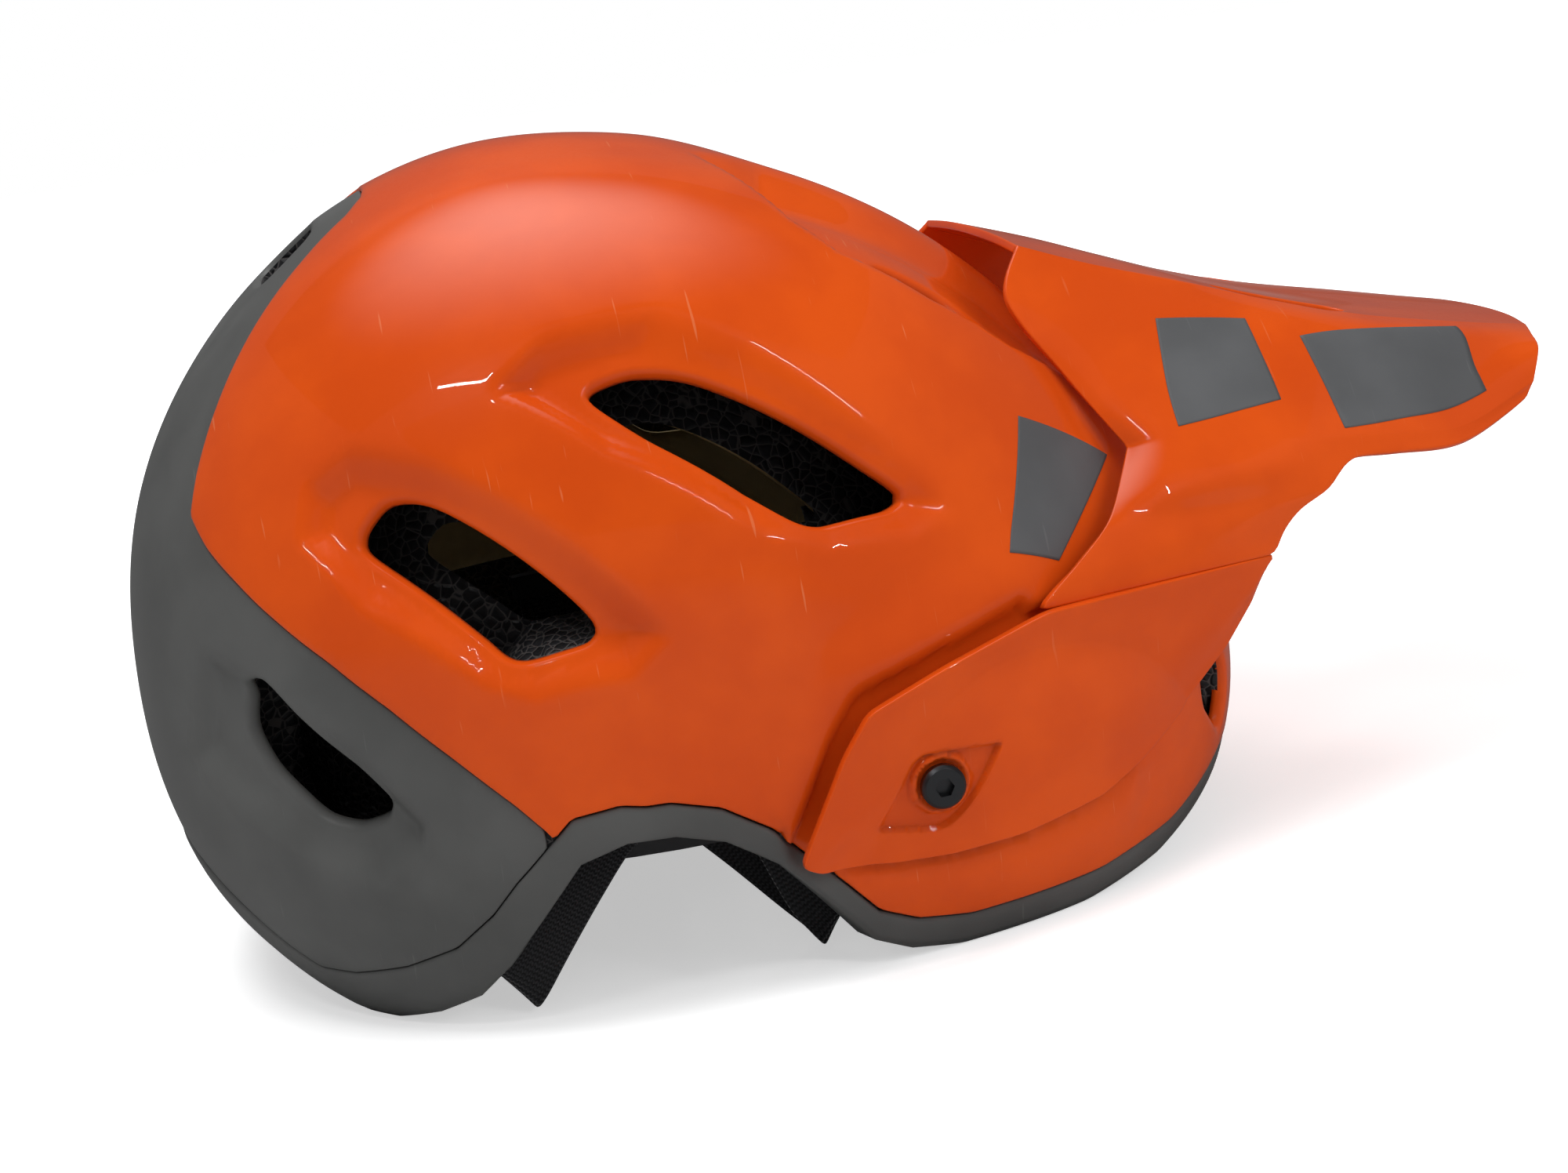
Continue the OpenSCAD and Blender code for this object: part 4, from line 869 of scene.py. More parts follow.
def skin_piece(keep, holes, creases, lift, vent_roll, edge_roll):
    """A moulded skin over the shell: trimmed, dished, with rolled vents and edges."""
    rim = grown(keep, -edge_roll / PER_DEGREE)
    bm = cut_grid(sizes().grid_step, rim, [grown(h, vent_roll / PER_DEGREE) for h in holes], creases)
    pts = flat_points(bm)
    pts[:, 2] = relief(pts[:, :2]) + lift
    set_points(bm, pts)
    vent_edges, rim_edges = [], []
    for e in boundary(bm):
        mid = np.mean([v.co[:2] for v in e.verts], axis=0)
        on_rim = abs(signed_distance(rim, mid[None], FAR)[0][0]) < 0.25
        (rim_edges if on_rim else vent_edges).append(e)
    roll_over(bm, vent_edges, vent_roll, 4, VENT_DROP)
    roll_over(bm, rim_edges, edge_roll, 3, RIM_DROP)
    pts = flat_points(bm)
    set_points(bm, plain_points(pts[:, :2], pts[:, 2]))
    bm.normal_update()
    face_outwards(bm, HEAD)
    return bm


def grown_line(line, by):
    """An open line moved to its left by a distance."""
    t = np.gradient(line, axis=0)
    t /= np.linalg.norm(t, axis=1, keepdims=True)
    return line + np.stack([-t[:, 1], t[:, 0]], 1) * by


class HELMET_OT_upper_shell(bpy.types.Operator):
    """Orange upper skin with its scoops, front channel, side lip and rolled vents"""

    bl_idname = "helmet.upper_shell"
    bl_label = "Upper shell"

    def execute(self, context):
        s = sizes()
        keep = walked(polar(AZIMUTHS, top_edge(AZIMUTHS)), 0.6)
        holes = both_sides([CUT_LONG, CUT_SIDE, CUT_FRONT, CUT_BROW])
        crests = [walked(np.array(c, float), 0.5, False) for c in (
            LONG_SCOOP[5:] + LONG_SCOOP[:2], SIDE_SCOOP[5:] + SIDE_SCOOP[:3], TROUGH[:7])]
        crests += [walked(grown_line(ARM_EDGE, by), 0.5, False) for by in (LIP_TOP, 1.2)]
        crests += [c * np.array([1.0, -1.0]) for c in crests]
        bm = skin_piece(keep, holes, crests, SKIN, s.vent_roll * 1000, s.edge_roll * 1000)
        piece = piece_from(bm, "Upper shell", "helmet", "shell orange", ["upper_shell"])
        thicken(piece, s.skin_wall)
        return {"FINISHED"}


class HELMET_OT_rear_shell(bpy.types.Operator):
    """Grey rear skin from behind the ears round the nape"""

    bl_idname = "helmet.rear_shell"
    bl_label = "Rear shell"

    def execute(self, context):
        s = sizes()
        a = np.arange(107.0, 253.01, 0.75)
        signed = np.where(a > 180, a - 360, a)
        upper = polar(a, curve_value(SPLIT, signed) + 0.15)
        lower = polar(a, rear_edge(signed))
        keep = walked(np.vstack([upper, lower[::-1]]), 0.6)
        holes = both_sides([CUT_REAR]) + [CUT_NAPE]
        crests = both_sides([walked(np.array(REAR_SCOOP, float), 0.5)])
        bm = skin_piece(keep, holes, crests, 0.0, s.vent_roll * 1000, REAR_ROLL)
        piece = piece_from(bm, "Rear shell", "helmet", "rear grey", ["rear_shell"])
        thicken(piece, s.skin_wall * 0.8)
        return {"FINISHED"}


class HELMET_OT_rim_trim(bpy.types.Operator):
    """Grey band round the rim, turned in under the foam"""

    bl_idname = "helmet.rim_trim"
    bl_label = "Rim trim"

    def execute(self, context):
        azimuth = np.arange(-180.0, 180.01, 1.0)
        rim = curve_value(RIM, azimuth)
        low = rim + 1.7
        top = angle_at_height(outer_points, azimuth, band_height(azimuth), 0.5)
        bottom = angle_at_height(outer_points, azimuth, rim, 0.5)
        inner = angle_at_height(outer_points, azimuth, low, -SKIN)
        s = np.stack([np.cos(np.radians(azimuth)), np.sin(np.radians(azimuth)), 0 * azimuth], 1)

        def on_shell(rho, offset):
            return outer_points(polar(azimuth, rho), np.full(len(azimuth), offset))

        def foot(inwards, height):
            return np.column_stack([(p - s * inwards)[:, :2], height])

        p = on_shell(bottom, 0.5)
        rows = [on_shell(top, -SKIN), on_shell(top, 0.0), on_shell(top + 0.25, 0.45)]
        for share in (0.12, 0.3, 0.5, 0.7, 0.85):
            rows.append(on_shell(top + (bottom - top) * share, 0.55 + 0.25 * math.sin(share * math.pi)))
        rows += [foot(-0.15, rim + 0.9), foot(0.1, rim + 0.3), foot(0.7, rim), foot(4.5, rim),
                 foot(8.2, rim), foot(8.8, rim + 0.3), foot(9.0, rim + 0.9), foot(8.9, low),
                 on_shell(inner, -SKIN), on_shell((top + inner) / 2, -SKIN)]
        bm, a, b = grid_strip(len(azimuth) - 1, len(rows))
        ring = np.rint(b * len(rows)).astype(int) % len(rows)
        set_points(bm, np.stack(rows)[ring, np.rint(a * (len(azimuth) - 1)).astype(int)])
        bmesh.ops.remove_doubles(bm, verts=bm.verts[:], dist=0.001)
        bmesh.ops.recalc_face_normals(bm, faces=bm.faces[:])
        piece_from(bm, "Rim trim", "helmet", "trim grey", ["rim_trim"])
        return {"FINISHED"}


def contracted(uv, loops, share):
    """Angles drawn in towards the middle of each vent, fading out a few degrees away from it."""
    out = uv.copy()
    for loop in loops:
        mid = (loop.min(0) + loop.max(0)) / 2
        d, _ = signed_distance(loop, uv, 9.0)
        w = np.where(np.isinf(d), 0.0, 1 - smooth_step(np.clip(d, 0, 8) / 8.0))
        out += (mid - uv) * (share * w)[:, None]
    return out


class HELMET_OT_foam(bpy.types.Operator):
    """Bead foam liner whose vents taper through to the head"""

    bl_idname = "helmet.foam"
    bl_label = "Foam liner"

    def execute(self, context):
        s = sizes()
        holes = both_sides([CUT_LONG, CUT_SIDE, CUT_REAR, CUT_FRONT, CUT_BROW]) + [CUT_NAPE]
        low = curve_value(RIM, AZIMUTHS) + 2.0
        outer = angle_at_height(outer_points, AZIMUTHS, low, FOAM_OUT)
        inner = angle_at_height(inner_points, AZIMUTHS, low + curve_value(BEVEL, AZIMUTHS), 0.0)
        bm = cut_grid(1.6, walked(polar(AZIMUTHS, outer), 0.8), holes)
        bmesh.ops.extrude_face_region(bm, geom=bm.faces[:], use_keep_orig=True)
        bm.verts.index_update()
        half = len(bm.verts) // 2
        walls = [e for e in bm.edges if (e.verts[0].index < half) != (e.verts[1].index < half)]
        for v in bm.verts:
            v.co.z = 0.0 if v.index < half else 1.0
        bmesh.ops.subdivide_edges(bm, edges=walls, cuts=s.foam_cuts, use_grid_fill=True)
        pts = flat_points(bm)
        uv, depth = pts[:, :2], pts[:, 2]
        rho = np.hypot(uv[:, 0], uv[:, 1])
        azimuth = np.degrees(np.arctan2(uv[:, 1], uv[:, 0]))
        ratio = np.interp(azimuth, AZIMUTHS, inner / outer, period=360)
        limit = np.interp(azimuth, AZIMUTHS, outer, period=360)
        pull = 1 + (ratio - 1) * smooth_step((rho - 45) / np.maximum(limit - 45, 1))
        drawn = contracted(uv, holes, 0.13) * pull[:, None]
        out = plain_points(uv, relief(uv) + FOAM_OUT)
        inn = inner_points(drawn, 0.0)
        set_points(bm, inn + (out - inn) * depth[:, None])
        bmesh.ops.recalc_face_normals(bm, faces=bm.faces[:])
        piece = piece_from(bm, "Foam liner", "helmet", "bead foam", ["eps_liner"])
        piece.data.set_sharp_from_angle(angle=math.radians(50))
        return {"FINISHED"}


# the visor's guide lines on the left half, from its middle outwards, each from the rear edge to the front
VISOR_GUIDES = [
    [(127, 0, 157.5), (146, 0, 150.5), (166, 0, 142), (190, 0, 132), (216, 0, 123.5), (246, 0, 116.5),
     (271, 0, 111)],
    [(127, 22, 157), (146, 22, 150), (167, 22, 141.5), (191, 22, 131.8), (217, 22, 123.3), (246, 21, 116.3),
     (269.6, 18, 111)],
    [(127, 41, 155.8), (145, 42, 148.2), (168, 42, 140), (192, 43, 131), (217, 42, 122.8), (245, 40, 115.8),
     (266, 34, 110.8)],
    [(120, 50.5, 144.3), (143, 51.5, 138.8), (167, 52, 133.4), (190, 53, 127.4), (214, 53, 120.4),
     (240, 50, 114), (262.5, 43, 110.2)],
    [(129, 61.8, 125.4), (143, 66, 122), (166, 66, 118.3), (190, 65.5, 114), (212, 62.5, 109.3),
     (234, 58, 105.5), (259, 52.5, 108)],
    [(138.5, 73.5, 108), (146, 78, 109.2), (164, 78, 105.6), (190, 75.5, 101.2), (211, 71, 97.6),
     (230, 66.5, 95.4), (254.5, 57.5, 101)],
    [(129.5, 86, 97.8), (143, 86.5, 99.5), (161, 84, 99), (187, 78, 96.8), (208, 73.5, 93.8),
     (229, 68.5, 92), (251.5, 59.5, 97.5)],
]
# the cheek's rows, each with x, z and y at its rear and front: x0, x1, z0, z1, y0, y1
CHEEK_ROWS = [(103, 169, 80.4, 77.6, 99.7, 82.7), (110, 171.5, 85, 82.4, 97, 81.5),
              (116, 175.5, 88.5, 86.4, 94, 80.5), (124, 183, 93.5, 90.4, 89.5, 79),
              (129.5, 190, 98.6, 95.5, 86, 77.2)]
# the guides that stay sharp, and the steps of the visor's plan between the guides, in millimetres
VISOR_CREASES = [2, 5]
GUIDE_STEP, CHEEK_STEP, ALONG_STEP = 14.0, 6.0, 24.0
VISOR_PLAN = [(-84, 144, 7), (-84, 77, 9), (-108, 72, 3), (-108, 0, 3), (108, 0, 3), (108, 72, 3),
              (84, 77, 9), (84, 144, 7)]
VISOR_SLOT = [(180, 31, 3), (210, 31.5, 5), (214.5, 36, 4), (209, 43, 4), (184, 43, 3), (177, 38.5, 5)]


def spline_rows(rows, t):
    """Catmull-Rom across rows of points, one place for each column."""
    n = len(rows)
    i = np.clip(np.floor(t).astype(int), 0, n - 2)
    k = np.arange(len(t))
    before, after = rows[np.maximum(i - 1, 0), k], rows[np.minimum(i + 2, n - 1), k]
    return catmull_rom(before, rows[i, k], rows[i + 1, k], after, (t - i)[:, None])


def spline_at(points, t):
    """Catmull-Rom along one row of points."""
    points = np.asarray(points, float)
    return spline_rows(np.repeat(points[:, None], len(t), 1), np.asarray(t, float))


def cheek_row(row, share):
    """A row of the cheek's outer face, from its rear at 0 to its front at 1."""
    x0, x1, z0, z1, y0, y1 = row
    x, z, y = x0 + (x1 - x0) * share, z0 + (z1 - z0) * share, y0 + (y1 - y0) * share
    y = np.maximum(y, side_half_width(x, z) + ARM_GAP) + sizes().visor_wall * 1000 - 0.2
    return np.column_stack([x, y, z])


def visor_map(plan):
    """The flat plan of the visor and its cheeks, in rough millimetres, to its upper face."""
    side = np.where(plan[:, 0] < 0, -1.0, 1.0)
    reach = np.abs(plan[:, 0])
    last = len(VISOR_GUIDES) - 1
    across = np.where(reach < last * GUIDE_STEP, reach / GUIDE_STEP,
                      last + (reach - last * GUIDE_STEP) / CHEEK_STEP)
    along = np.clip(plan[:, 1] / ALONG_STEP, 0, 6)
    share = plan[:, 1] / (3 * ALONG_STEP)
    out = np.zeros((len(plan), 3))
    cuts = [0] + VISOR_CREASES + [100]
    for lo, hi in zip(cuts[:-1], cuts[1:]):
        pick = (across >= lo) & (across < hi)
        if not pick.any():
            continue
        rows = [spline_at(g, along[pick]) for g in VISOR_GUIDES[lo:hi + 1]]
        if lo == 0:
            rows.insert(0, rows[1] * np.array([1.0, -1.0, 1.0]))
        if hi > last:
            rows += [cheek_row(r, share[pick]) for r in CHEEK_ROWS[-2::-1]]
        out[pick] = spline_rows(np.stack(rows), across[pick] - lo + (lo == 0))
    out[:, 1] *= side
    return out


def plan_of(x, y):
    """The plan place of points of the visor's top, by a few corrections."""
    target = np.column_stack([x, y]).astype(float)
    p = np.column_stack([target[:, 1] / 21 * GUIDE_STEP, (target[:, 0] - 127) / 144 * 6 * ALONG_STEP])
    for _ in range(12):
        q = visor_map(p)[:, :2]
        dx = (visor_map(p + np.array([0.05, 0]))[:, :2] - q) / 0.05
        dy = (visor_map(p + np.array([0, 0.05]))[:, :2] - q) / 0.05
        e = target - q
        det = dx[:, 0] * dy[:, 1] - dx[:, 1] * dy[:, 0]
        det = np.where(np.abs(det) < 1e-6, 1e-6, det)
        p = p + np.column_stack([e[:, 0] * dy[:, 1] - e[:, 1] * dy[:, 0],
                                 dx[:, 0] * e[:, 1] - dx[:, 1] * e[:, 0]]) / det[:, None]
    return p


def eased(corners, step=1.0):
    """A closed outline from corners, each rounded over its own distance, walked in even steps."""
    p = np.array([c[:2] for c in corners], float)
    points = []
    for k, (here, ease) in enumerate(zip(p, [c[2] for c in corners])):
        a, b = p[k - 1] - here, p[(k + 1) % len(p)] - here
        before, after = np.linalg.norm(a), np.linalg.norm(b)
        a, b = here + a / before * min(ease, 0.45 * before), here + b / after * min(ease, 0.45 * after)
        for t in np.linspace(0, 1, 7):
            points.append((1 - t) ** 2 * a + 2 * t * (1 - t) * here + t**2 * b)
    return walked(np.array(points), step)


def grid_strip(nx, ny):
    """A unit grid of nx by ny steps whose points are returned as rows and columns from 0 to 1."""
    bm = bmesh.new()
    bmesh.ops.create_grid(bm, x_segments=nx, y_segments=ny, size=1.0)
    st = (flat_points(bm)[:, :2] + 1) / 2
    return bm, st[:, 0], st[:, 1]


def wall_inwards(bm, thickness):
    """Gives an open sheet its wall: a copy pushed in along the sheet's normals, joined round the edges."""
    bm.normal_update()
    sheet = [(v, v.normal.copy()) for v in bm.verts]
    bmesh.ops.extrude_face_region(bm, geom=bm.faces[:], use_keep_orig=True)
    for v, normal in sheet:
        v.co -= normal * thickness
    bmesh.ops.recalc_face_normals(bm, faces=bm.faces[:])


def plan_grid(low, high, step):
    """A flat grid over a rectangle of the plan."""
    bm = bmesh.new()
    size = np.subtract(high, low)
    nx, ny = (size / step).astype(int)
    bmesh.ops.create_grid(bm, x_segments=int(nx), y_segments=int(ny), size=0.5)
    set_points(bm, (flat_points(bm) + np.array([0.5, 0.5, 0])) * np.array([*size, 0]) + np.array([*low, 0]))
    return bm


def plan_wall(bm, surface, wall, edge, outside, under=None):
    """Turns a flat trimmed plan into a closed wall under a surface, its rims rounded to a small radius."""
    turned = {}
    for e in boundary(bm):
        a, b = (v.co.copy() for v in e.verts)
        n = Vector((b.y - a.y, a.x - b.x, 0)).normalized()
        if n.dot(e.link_faces[0].calc_center_median() - a) > 0:
            n = -n
        for v in (a, b):
            key = (round(v.x, 4), round(v.y, 4))
            turned[key] = turned.get(key, Vector((0, 0, 0))) + n
    upper = set(bm.verts)
    bmesh.ops.extrude_face_region(bm, geom=bm.faces[:], use_keep_orig=True)
    for v in bm.verts:
        v.co.z = 0.0 if v in upper else 7.0
    sides = [e for e in bm.edges if (e.verts[0] in upper) != (e.verts[1] in upper)]
    bmesh.ops.subdivide_edges(bm, edges=sides, cuts=6, use_grid_fill=True)
    pts = flat_points(bm)
    plan, level = pts[:, :2], np.rint(pts[:, 2]).astype(int)
    top = surface(plan)
    e = 0.05
    du, dv = surface(plan + np.array([e, 0])) - top, surface(plan + np.array([0, e])) - top
    normal = np.cross(du, dv)
    normal /= np.maximum(np.linalg.norm(normal, axis=1, keepdims=True), 1e-12)
    if np.sum(normal * outside) < 0:
        normal = -normal
    out = np.zeros((len(plan), 2))
    for k, p in enumerate(np.round(plan, 4).tolist()):
        n = turned.get(tuple(p))
        if n is not None:
            out[k] = n.normalized()[:2]
    away = surface(plan + out * e) - top
    away /= np.maximum(np.linalg.norm(away, axis=1, keepdims=True), 1e-12)
    arc = np.radians([0, 30, 60, 90])
    depth = np.concatenate([edge * (1 - np.cos(arc)), wall - edge * (1 - np.cos(arc[::-1]))])
    reach = np.concatenate([edge * np.sin(arc), edge * np.sin(arc[::-1])])
    down = -normal if under is None else (under(plan) - top) / wall
    set_points(bm, top + down * depth[level][:, None] + away * reach[level][:, None])
    bmesh.ops.recalc_face_normals(bm, faces=bm.faces[:])


class HELMET_OT_visor(bpy.types.Operator):
    """Creased visor with two slots, run on down its cheeks to the seams over the side arms"""

    bl_idname = "helmet.visor"
    bl_label = "Visor"

    def execute(self, context):
        s = sizes()
        edge = s.edge_round * 1000
        xy = eased(VISOR_SLOT, 0.8)
        slot = grown(plan_of(xy[:, 0], xy[:, 1]), edge)
        lines = [np.array([(k * GUIDE_STEP, 2.0), (k * GUIDE_STEP, 142.0)]) for k in VISOR_CREASES]
        bm = plan_grid((-111, -3), (111, 147), s.visor_grid)
        trim_grid(bm, s.visor_grid, grown(eased(VISOR_PLAN), -edge), [slot, slot[::-1] * FLIP_ACROSS],
                  lines + [k * FLIP_ACROSS for k in lines])
        plan_wall(bm, visor_map, s.visor_wall * 1000, edge, np.array([0, 0, 1.0]))
        piece_from(bm, "Visor", "visor", "visor orange", ["visor"])
        return {"FINISHED"}


def arm_side(x, z):
    """Distance of the side arm's inner face from the middle plane."""
    straight = 101 - 0.3 * (x - HEAD[0] - 90) - 0.2 * (79 - z)
    return np.maximum(side_half_width(x, z) + ARM_GAP, straight)


# the sunk window's outline, seen from the side, with the ease of each corner; depths and radii in mm
WINDOW = [(56.3, 38.6, 1.5), (73.3, 34.6, 5), (81.5, 41.5, 5), (89.4, 53.4, 1.5), (67.9, 55.6, 4)]
WINDOW_DEPTH, WINDOW_FALL, BOWL_DEPTH, HOLLOW_DEPTH = 1.9, 0.8, 1.6, 1.9
HOLE_RADIUS, BOWL_RADIUS, RING_RADIUS = 2.7, 5.9, 7.2


class HELMET_OT_visor_arms(bpy.types.Operator):
    """Side arms with the sunk window and the raised ring round each pivot screw"""

    bl_idname = "helmet.visor_arms"
    bl_label = "Visor arms"

    def execute(self, context):
        s = sizes()
        wall, edge, step = s.arm_wall * 1000, s.edge_round * 1000, s.arm_grid
        low = [(x + HEAD[0], z, 1.5) for x, z in ARM_LOW]
        top = [(x + HEAD[0], z, 2.5) for x, z in ARM_TOP[::-1]]
        keep = grown(eased(low + top, 0.8), -edge)
        window = eased(WINDOW, 0.5)
        turn = np.radians(np.arange(0, 360, 9.0))
        circle = np.column_stack([np.cos(turn), np.sin(turn)])
        creases = [np.vstack([line, line[:1]]) for line in (
            window, grown(window, -WINDOW_FALL), PIVOT + BOWL_RADIUS * circle,
            PIVOT + RING_RADIUS * circle)]

        def outer(plan):
            x, z = plan[:, 0], plan[:, 1]
            inside = -signed_distance(window, plan, 3.0)[0]
            sunk = np.where(np.isinf(inside), 0.0, smooth_step(inside / WINDOW_FALL))
            r = np.hypot(x - PIVOT[0], z - PIVOT[1])
            ring = smooth_step((7.7 - r) / 0.8)
            dish = smooth_step((6.2 - r) / 0.6)
            under_edge, height = line_value(ARM_LOW, x - HEAD[0]), line_value(ARM_TOP, x - HEAD[0])
            share = (z - under_edge) / np.maximum(0.45 * (height - under_edge), 0.5)
            thin = HOLLOW_DEPTH * (1 - smooth_step(share)) * smooth_step((x - HEAD[0] - 24) / 10)
            face = arm_side(x, z) + wall - WINDOW_DEPTH * sunk * (1 - ring)
            return face - BOWL_DEPTH * dish - thin * (1 - ring)

        for word, side in SIDES:
            bm = plan_grid((36, 26), (170, 83), step)
            trim_grid(bm, step, keep, [grown(PIVOT + HOLE_RADIUS * circle, 0.1)], creases)
            plan_wall(bm, lambda q: np.column_stack([q[:, 0], side * outer(q), q[:, 1]]), wall, edge,
                      np.array([0, side, 0]),
                      lambda q: np.column_stack([q[:, 0], side * arm_side(q[:, 0], q[:, 1]), q[:, 1]]))
            piece_from(bm, f"Visor arm {word}", "visor", "visor orange", [f"visor_arm_{word}"])
        return {"FINISHED"}


# the painted blocks' corners, how far they stand off and how thick they are in millimetres
BLOCK_LIFT, BLOCK_WALL = 0.12, 0.1
BLOCK_ON_SHELL = [(57.7, -46.4), (71.3, -40.3), (65.1, -60.7), (57.4, -64.7)]
BLOCKS_ON_VISOR = [[(3.15, 1.55), (3.05, 2.55), (4.3, 2.6), (4.7, 1.35)],
                   [(3.3, 3.1), (2.5, 4.9), (4.45, 5.3), (4.8, 3.2)]]


def across_quad(corners, scale, a, b):
    """Points inside four corners, by their shares along the first edge and up from it."""
    c = np.array(corners, float) * np.array(scale)
    a, b = a[:, None], b[:, None]
    return (1 - a) * (1 - b) * c[0] + a * (1 - b) * c[1] + a * b * c[2] + (1 - a) * b * c[3]


class HELMET_OT_blocks(bpy.types.Operator):
    """Plain grey painted blocks on the shell's flanks and the visor's sides"""

    bl_idname = "helmet.blocks"
    bl_label = "Painted blocks"

    def execute(self, context):
        for word, side in SIDES:
            bm, a, b = grid_strip(40, 40)
            set_points(bm, outer_points(across_quad(BLOCK_ON_SHELL, (1.0, -side), a, b), SKIN + BLOCK_LIFT))
            bm.normal_update()
            face_outwards(bm, HEAD)
            wall_inwards(bm, BLOCK_WALL)
            piece_from(bm, f"Shell block {word}", "helmet", "block grey", [])
            for k, corners in enumerate(BLOCKS_ON_VISOR, 1):
                bm, a, b = grid_strip(36, 36)
                plan = across_quad(corners, (GUIDE_STEP, ALONG_STEP), a, b)
                set_points(bm, visor_map(plan) * [1.0, side, 1.0])
                bm.normal_update()
                if sum(f.normal.z for f in bm.faces) < 0:
                    bmesh.ops.reverse_faces(bm, faces=bm.faces[:])
                bm.normal_update()
                for v in bm.verts:
                    v.co += v.normal * BLOCK_LIFT
                wall_inwards(bm, BLOCK_WALL)
                piece_from(bm, f"Visor block {word} {k}", "visor", "block grey", [])
        return {"FINISHED"}


# how far the slip liner lies inside the foam, and the pads' backs inside the liner, in millimetres
LINER_LAY, PAD_LAY = -1.5, -2.0


def slip_offset(azimuth, rho):
    return LINER_LAY * (1 + 1.5 * np.abs(np.sin(np.radians(2 * azimuth))) * smooth_step((rho - 30) / 50))


def slip_points(uv, offset):
    rho = np.hypot(uv[:, 0], uv[:, 1])
    azimuth = np.degrees(np.arctan2(uv[:, 1], uv[:, 0]))
    return inner_points(uv, slip_offset(azimuth, rho) + offset)


class HELMET_OT_slip_liner(bpy.types.Operator):
    """Thin low-friction sheet inside the foam, open behind the vents"""

    bl_idname = "helmet.slip_liner"
    bl_label = "Slip liner"

    def execute(self, context):
        height = curve_value(SLIP, AZIMUTHS)
        rho = angle_at_height(inner_points, AZIMUTHS, height, LINER_LAY)
        holes = both_sides([CUT_LONG, CUT_SIDE, CUT_FRONT, rounded(LINER_SLOT)])
        bm = cut_grid(2.0, walked(polar(AZIMUTHS, rho), 1.0), [grown(h, 0.2) for h in holes])
        pts = flat_points(bm)
        set_points(bm, slip_points(pts[:, :2], 0.0))
        bm.normal_update()
        face_outwards(bm, HEAD)
        wall_inwards(bm, sizes().slip_wall * 1000)
        piece_from(bm, "Slip liner", "liner", "slip sheet", ["slip_liner"])
        return {"FINISHED"}


def crowned(distance, width):
    """The height of a padded edge: a quarter round up from its seam."""
    t = np.clip(distance / width, 0, 1)
    return np.sqrt(np.maximum(0, 1 - (1 - t) ** 2))


# each pad's node, its span in angles, its grid, its sides in millimetres, and where channels are sewn across
# its first side or its second; the brow pad goes round the rim instead, between two heights
PADS = {
    "Crown pad": ("pad_crown", (30, -30, -9, 9), (60, 24), (110, 34), (0.33, 0.67), ()),
    "Side pad left": ("pad_side_left", (34, -26, 26, 40), (60, 20), (110, 26), (0.3, 0.7), ()),
    "Side pad right": ("pad_side_right", (34, -26, -26, -40), (60, 20), (110, 26), (0.3, 0.7), ()),
    "Rear pad": ("pad_rear", (-64, -78, -28, 28), (20, 60), (28, 110), (), (0.33, 0.67)),
    "Brow pad": ("pad_brow", None, (90, 22), (165, 22), (0.25, 0.5, 0.75), (0.5,)),
}
BROW_SPAN, BROW_TOP, BROW_FALL = 45, 74, 22


class HELMET_OT_pads(bpy.types.Operator):
    """Comfort pads: crowned, drawn in at their seams, with sewn channels"""

    bl_idname = "helmet.pads"
    bl_label = "Comfort pads"

    def execute(self, context):
        wall = sizes().pad_wall * 1000
        for name, (node, angles, grid, (long_way, short_way), across, along) in PADS.items():
            bm, a, b = grid_strip(*grid)
            if angles:
                u0, u1, v0, v1 = angles
                uv = np.column_stack([u0 + (u1 - u0) * a, v0 + (v1 - v0) * b])
            else:
                azimuth = -BROW_SPAN + 2 * BROW_SPAN * a
                rho = angle_at_height(inner_points, azimuth, BROW_TOP - BROW_FALL * b, LINER_LAY)
                uv = polar(azimuth, rho)
            edge = np.minimum(np.minimum(a, 1 - a) * long_way, np.minimum(b, 1 - b) * short_way)
            height = 0.25 + 0.75 * crowned(edge, 7.0)
            for t, size, shares in ((a, long_way, across), (b, short_way, along)):
                for share in shares:
                    height *= 1 - 0.45 * np.exp(-((t - share) * size / 1.3) ** 2)
            bmesh.ops.extrude_face_region(bm, geom=bm.faces[:], use_keep_orig=True)
            rise = np.concatenate([height * wall, np.zeros(len(uv))])
            set_points(bm, slip_points(np.vstack([uv, uv]), PAD_LAY - rise))
            bmesh.ops.recalc_face_normals(bm, faces=bm.faces[:])
            piece = piece_from(bm, name, "liner", "pad knit", [node])
        return {"FINISHED"}


def route(points, steps):
    points = [np.asarray(p, float) for p in points]
    t = np.linspace(0, len(points) - 1, (len(points) - 1) * steps + 1)
    return spline_at(np.array(points), t)


